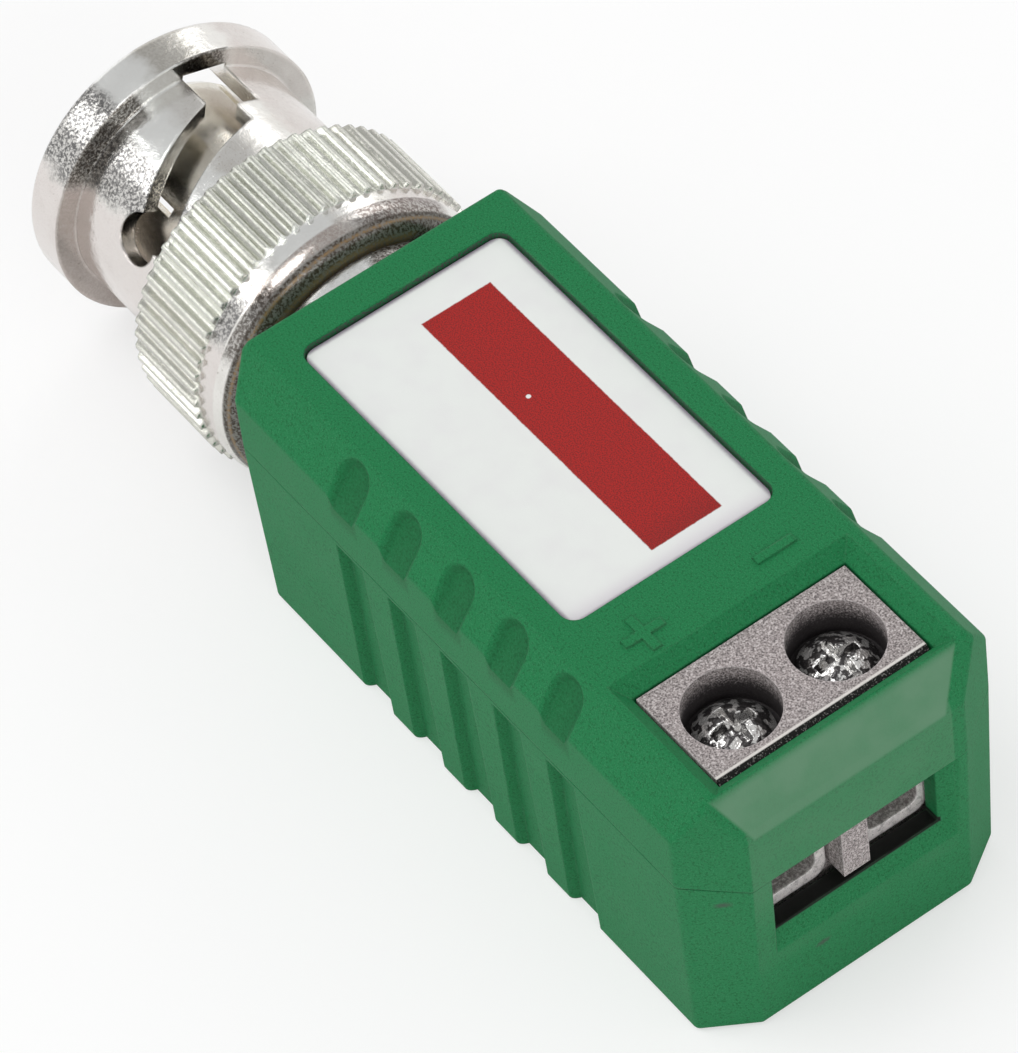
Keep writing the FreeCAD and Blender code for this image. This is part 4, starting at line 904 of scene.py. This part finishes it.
@dataclass
class CoaxialPlug(SubAssembly):
    """The bayonet plug: its nut, its body, its two contacts and the sprung stack between nut and body.

    The fields say where the nut's turned forms begin and end along X.
    """

    front: float = -33.0
    flange_back: float = -30.3
    knurl_front: float = -23.9
    knurl_back: float = -19.28
    shoulder: float = -18.4
    back: float = -17.2
    collar_back: float = -16.2

    def reflections_and_tarnish(self) -> tuple[Zone, ...]:
        """Lays out the zones painted on the nut and the collar: reflections and highlights at the angles where the
        metal mirrors its surroundings, with tarnished colour among them.

        Returns:
            The zones, the lowest first.
        """
        nut = (self.front, self.shoulder + 0.1)
        rim = (self.front, self.flange_back - 0.05)
        step = (self.flange_back - 0.06, self.flange_back + 0.1)
        barrel = (self.flange_back + 0.05, self.knurl_front)
        ring = (self.knurl_back, self.shoulder)
        # Painted reflection by angle: the pinkish zones stand for the mirrored floor, the dark flecked bands for
        # mirrored dark surroundings, and the pale bands and the collar's pale crescent are painted highlights.
        return (
            Zone((-70, 32), nut, Colour(214, 204, 201), 0.55, 0.2),
            Zone((120, 175), nut, Colour(214, 203, 199), 0.55, 0.3),
            Zone((84, 106), rim, Colour(172, 168, 157), 0.6, 0.3),
            Zone((65, 84), rim, PAINTED_HIGHLIGHT, 0.9, 0.1),
            Zone((33, 65), rim, DARK_REFLECTION, 0.88, 0.75),
            Zone((-60, 32), step, Colour(176, 164, 158), 0.7, 0.3),
            Zone((32, 77), step, BROWN, 0.95, 0.45),
            Zone((78, 96), step, PAINTED_HIGHLIGHT, 0.8, 0.2),
            Zone((97, 116), step, BROWN, 0.9, 0.4),
            Zone((62, 80), barrel, PAINTED_HIGHLIGHT, 0.9, 0.1),
            Zone((35, 62), barrel, DARK_REFLECTION, 0.85, 0.75),
            Zone(ALL_ROUND, (self.knurl_front, self.knurl_back), Colour(196, 200, 188), 0.7, 0.3),
            Zone((66, 94), ring, PAINTED_HIGHLIGHT, 0.9, 0.1),
            Zone((33, 52), ring, DARK_REFLECTION, 0.8, 0.6),
            Zone((52, 96), (self.shoulder - 0.05, self.shoulder + 0.6), Colour(168, 152, 144), 0.7, 0.4),
            Zone((98, 138), (self.shoulder - 0.2, self.shoulder + 0.7), Colour(92, 76, 70), 0.85, 0.5),
            Zone((30, 60), (self.shoulder + 0.1, self.shoulder + 0.7), BROWN, 0.85, 0.5),
            Zone(ALL_ROUND, (self.back - 0.6, self.back + 0.05), Colour(66, 56, 47), 1.0, 0.25, 0.85),
            Zone(ALL_ROUND, (self.back - 0.42, self.back - 0.34), Colour(176, 142, 100), 0.7, 0.7),
            Zone((40, 120), (self.back - 0.04, self.back + 0.05), Colour(150, 126, 92), 0.9, 0.6),
            Zone(ALL_ROUND, (self.back + 0.08, self.collar_back), Colour(60, 52, 44), 1.0, 0.3, 0.7),
            Zone((66, 98), (self.back + 0.2, self.collar_back), PAINTED_HIGHLIGHT, 1.0, 0.1, -1.0),
        )

    def finishes(self) -> dict[str, Finish]:
        """Chooses the plug's finishes.

        Returns:
            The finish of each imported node.
        """
        nickel = Plating(Slot.NICKEL, Colour(232, 230, 226), Colour(150, 142, 128), soften=0.2, staining=0.3,
                         dents=0.03, dent_size=0.9, zones=self.reflections_and_tarnish())
        steel = Plating(Slot.SPRING, Colour(168, 168, 170), Colour(118, 116, 114), polish=0.25)
        return {
            "coupling_nut": nickel,
            "plug_body": nickel,
            "outer_contact": Plating(Slot.CONTACT, Colour(226, 222, 212), Colour(176, 164, 146), polish=0.12),
            "centre_pin": Plating(Slot.GOLD, Colour(232, 196, 122), Colour(190, 146, 80), polish=0.14),
            "insulator": Speckled(Slot.INSULATOR, Colour(230, 229, 222), Colour(240, 240, 236),
                                  Colour(214, 212, 202), rough=0.42, edge_light=0.2),
            "front_gasket": Speckled(Slot.RUBBER, Colour(36, 36, 37), Colour(52, 52, 53), Colour(26, 26, 26),
                                     rough=0.72, edge_light=0.3, gloss=0.3),
            "thrust_washer": steel,
            "wave_washer": steel,
            "retaining_ring": steel,
        }


@dataclass
class ScrewTerminal(SubAssembly):
    """The two-pole rising-cage terminal."""

    screw_place: float = 11.85
    half_pitch: float = 2.54
    block_top: float = 14.15
    edge: FrontEdge = FrontEdge()
    cage_back: float = 8.9
    cage_front: float = 14.7
    lip: float = 0.08
    lit_depth: float = 0.75

    def finishes(self) -> dict[str, Finish]:
        """Chooses the terminal's finishes.

        Returns:
            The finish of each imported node.
        """
        wells = tuple(ScrewWell((self.screw_place, side * self.half_pitch, self.block_top)) for side in (-1, 1))
        block = Speckled(Slot.BLOCK, Colour(157, 148, 147), Colour(214, 206, 206), Colour(80, 74, 75), grain=0.075,
                         wells=wells, edge=self.edge)
        screw = Plating(Slot.SCREW, Colour(246, 245, 243), Colour(150, 140, 132), polish=0.12, dull=0.2, patch=0.7,
                        pit=0.308, metal=0.8, dents=0.12, dent_size=0.42, blotching=0.92)
        # Painted shade inside the wire cages: mid grey behind their bright lip, near black deeper than the lit depth.
        inside = (
            Zone(ALL_ROUND, (self.cage_back, self.cage_front - self.lip), Colour(138, 128, 126), 0.8, 0.75),
            Zone(ALL_ROUND, (self.cage_back, self.cage_front - self.lit_depth), Colour(16, 13, 13), 0.98, 0.25),
        )
        cage = Plating(Slot.CAGE, Colour(246, 240, 238), Colour(60, 54, 52), polish=0.34, dull=0.5, patch=0.35,
                       staining=0.75, metal=0.3, zones=inside)
        return {
            "terminal_block": block,
            "terminal_screw_plus": screw,
            "terminal_screw_minus": screw,
            "wire_cage_plus": cage,
            "wire_cage_minus": cage,
            "contact_bar_plus": cage,
            "contact_bar_minus": cage,
        }


@dataclass(frozen=True)
class Fillet:
    """One solder fillet: where it sits on the board, and how it narrows to the lead.

    Its rise is negative under the board.
    """

    name: str
    place: Triple
    foot: float
    neck: float
    rise: float

    def outline(self, steps: int) -> list[Pair]:
        """Returns the radius and the height at each step of its hollow flank."""
        shares = [step / steps for step in range(steps + 1)]
        return [(self.neck + (self.foot - self.neck) * (1 - share) ** 2, self.rise * share) for share in shares]


@dataclass
class BoardAssembly(SubAssembly):
    """The board with its transformer, its small parts and the solder that joins the leads to it."""

    fillets: tuple[Fillet, ...] = (
        Fillet("centre_solder", (-9.4, 0.0, 3.4), 0.85, 0.42, 0.55),
        Fillet("ground_solder", (-9.85, 1.2, 3.4), 0.85, 0.42, 0.55),
        Fillet("plus_pin_solder", (8.0, -2.54, 2.0), 1.0, 0.66, -0.5),
        Fillet("minus_pin_solder", (8.0, 2.54, 2.0), 1.0, 0.66, -0.5),
    )
    rings: int = 7
    around: int = 24

    def finishes(self) -> dict[str, Finish]:
        """Chooses the finishes of the board and its parts.

        Returns:
            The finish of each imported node.
        """
        tin = Plating(Slot.TIN, Colour(206, 206, 206), Colour(160, 158, 154), polish=0.22)
        return {
            "circuit_board": Speckled(Slot.BOARD, Colour(28, 92, 48), Colour(42, 112, 62), Colour(20, 70, 36),
                                      rough=0.4),
            "toroid_core": Speckled(Slot.FERRITE, Colour(52, 53, 56), Colour(72, 73, 76), Colour(34, 35, 37),
                                    rough=0.62),
            "toroid_winding": Plating(Slot.WIRE, Colour(196, 104, 52), Colour(150, 72, 34), polish=0.22),
            "capacitor": Speckled(Slot.DISC, Colour(206, 130, 58), Colour(222, 150, 80), Colour(176, 104, 44),
                                  rough=0.35),
            "resistor": Speckled(Slot.RESISTOR, Colour(206, 182, 142), Colour(220, 200, 164),
                                 Colour(184, 158, 118), rough=0.38),
            "surge_suppressor": Speckled(Slot.SUPPRESSOR, Colour(222, 222, 218), Colour(236, 236, 232),
                                         Colour(198, 198, 192), rough=0.25),
            "centre_lead": tin,
            "ground_lead": tin,
        }

    def build(self) -> dict[str, Slot]:
        """Makes the solder fillets.

        Returns:
            The slot of each fillet.
        """
        for fillet in self.fillets:
            piece = bpy.data.objects.new(fillet.name, self._mesh(fillet))
            bpy.context.scene.collection.objects.link(piece)
            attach(piece, "housing")
        return {fillet.name: Slot.TIN for fillet in self.fillets}

    def _mesh(self, fillet: Fillet) -> bpy.types.Mesh:
        """Turns one fillet's outline into a closed mesh.

        Args:
            fillet: The fillet.

        Returns:
            The mesh.
        """
        turns = [math.tau * step / self.around for step in range(self.around)]
        points = [
            tuple((Vector(fillet.place) + Vector((radius * math.cos(turn), radius * math.sin(turn), rise))) * MM)
            for radius, rise in fillet.outline(self.rings)
            for turn in turns
        ]
        faces = [tuple(range(self.around))[::-1], tuple(range(len(points) - self.around, len(points)))]
        for low in range(0, self.rings * self.around, self.around):
            high = low + self.around
            for step in range(self.around):
                after = (step + 1) % self.around
                faces.append((low + step, low + after, high + after, high + step))
        if fillet.rise < 0:
            faces = [face[::-1] for face in faces]
        mesh = bpy.data.meshes.new(fillet.name)
        mesh.from_pydata(points, [], faces)
        mesh.shade_smooth()
        return mesh


@dataclass(frozen=True)
class Lamp:
    """One soft square lamp, with its place and width in metres and its power in watts."""

    name: str
    place: Triple
    width: float
    power: float

    def build(self, aim: Triple) -> None:
        """Hangs the lamp.

        Args:
            aim: The point that it faces.
        """
        data = bpy.data.lights.new(self.name, "AREA")
        data.size = self.width
        data.energy = self.power
        lamp = bpy.data.objects.new(self.name, data)
        lamp.location = self.place
        lamp.rotation_mode = "QUATERNION"
        lamp.rotation_quaternion = (Vector(self.place) - Vector(aim)).to_track_quat("Z", "Y")
        bpy.context.scene.collection.objects.link(lamp)


@dataclass
class Studio:
    """A plain white floor, soft lamps and an even surround."""

    floor_size: float = 3.0
    floor_colour: Colour = Colour(252, 252, 252)
    glow: float = 0.55
    fill: float = 0.62
    ceiling: float = 0.55
    horizon: Pair = (0.42, 0.58)
    aim: Triple = (0.0, 0.0, 0.007)
    white: tuple[float, float, float, float] = (1.0, 1.0, 1.0, 1.0)
    lamps: tuple[Lamp, ...] = (
        Lamp("key", (-0.10, -0.22, 0.60), 0.30, 1.0),
        Lamp("left", (-0.37, -0.40, 0.40), 0.24, 0.45),
        Lamp("front", (0.50, -0.10, 0.28), 0.26, 0.6),
        Lamp("back", (-0.30, 0.44, 0.36), 0.26, 0.35),
    )

    def build(self) -> None:
        """Makes the floor, the surround and the lamps."""
        self._floor()
        self._surround()
        for lamp in self.lamps:
            lamp.build(self.aim)

    def _floor(self) -> None:
        """Makes the floor, which looks near white to the camera and keeps the object's soft shadow."""
        half = self.floor_size / 2
        mesh = bpy.data.meshes.new("floor")
        outline = [(-half, -half, 0.0), (half, -half, 0.0), (half, half, 0.0), (-half, half, 0.0)]
        mesh.from_pydata(outline, [], [(0, 1, 2, 3)])
        floor = bpy.data.objects.new("floor", mesh)
        bpy.context.scene.collection.objects.link(floor)
        shader = Shader("floor_white")
        shader.set(Base_Color=self.floor_colour, Roughness=0.9, Specular_IOR_Level=0.1)
        seen = shader.node("ShaderNodeLightPath", {}, {}).out("Is Camera Ray")
        white = shader.node("ShaderNodeEmission", {}, {"Color": self.white, "Strength": 1.0})
        blend = shader.node("ShaderNodeMixShader", {}, {0: seen * self.glow, 1: shader.surface.out(), 2: white.out()})
        shader.tree.links.new(blend.out().socket, shader.output.item.inputs["Surface"])
        floor.data.materials.append(shader.material)

    def _surround(self) -> None:
        """Makes the surround: white to the camera, an even fill, and a greyer ceiling in what mirrors it."""
        world = bpy.data.worlds.new("surround")
        bpy.context.scene.world = world
        world.use_nodes = True
        graph = Graph(world.node_tree)
        place = graph.node("ShaderNodeTexCoord", {}, {}).out("Generated")
        rise = graph.node("ShaderNodeSeparateXYZ", {}, {0: place}).out("Z")
        mirrored = 1.0 - rise.ramp(*self.horizon) * (1.0 - self.ceiling)
        ray = graph.node("ShaderNodeLightPath", {}, {})
        seen = ray.out("Is Camera Ray") | ray.out("Is Transmission Ray")
        level = self.fill + (mirrored - self.fill) * ray.out("Is Glossy Ray")
        level = level + (1.0 - level) * seen
        light = graph.node("ShaderNodeBackground", {}, {"Color": self.white, "Strength": level})
        graph.node("ShaderNodeOutputWorld", {}, {"Surface": light.out()})


@dataclass
class PhotoCamera:
    """The camera at the photograph's viewing angle, in the photograph's 1018 by 1053 frame.

    Angles are in degrees, the distance and the target in metres, and the sensor in millimetres.
    """

    azimuth: float = 60.08
    elevation: float = 50.22
    roll: float = -8.27
    focal_pixels: float = 6815.0
    frame_height: float = 1053.0
    distance: float = 279.0 * MM
    target: Triple = (-7.43 * MM, 0.0, 5.20 * MM)
    sensor: float = 36.0
    clip: Pair = (0.01, 10.0)

    def build(self) -> None:
        """Makes the camera and gives it to the scene."""
        azimuth, elevation, roll = (math.radians(a) for a in (self.azimuth, self.elevation, self.roll))
        back = Vector((
            math.sin(azimuth) * math.cos(elevation),
            -math.cos(azimuth) * math.cos(elevation),
            math.sin(elevation),
        ))
        level = Vector((0, 0, 1)).cross(back).normalized()
        rise = back.cross(level)
        right = math.cos(roll) * level + math.sin(roll) * rise
        up = math.cos(roll) * rise - math.sin(roll) * level
        data = bpy.data.cameras.new("photo_camera")
        data.sensor_width = self.sensor
        data.lens = self.sensor * self.focal_pixels / self.frame_height
        data.clip_start, data.clip_end = self.clip
        camera = bpy.data.objects.new("photo_camera", data)
        turn = Matrix((right, up, back)).transposed().to_4x4()
        camera.matrix_world = Matrix.Translation(Vector(self.target) + back * self.distance) @ turn
        bpy.context.scene.collection.objects.link(camera)
        bpy.context.scene.camera = camera


def main() -> None:
    """Builds the camera, the studio and the sub-assemblies."""
    logging.basicConfig(level=logging.INFO, format="%(name)s: %(message)s")
    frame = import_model()
    bpy.context.scene.view_settings.view_transform = "Standard"
    PhotoCamera().build()
    Studio().build()
    for group in (Housing(frame), CoaxialPlug(frame), ScrewTerminal(frame), BoardAssembly(frame)):
        for name, slot in group.dress().items():
            LOG.info("%s: %s in %s", type(group).__name__, name, slot.value)


if __name__ == "__main__":
    main()
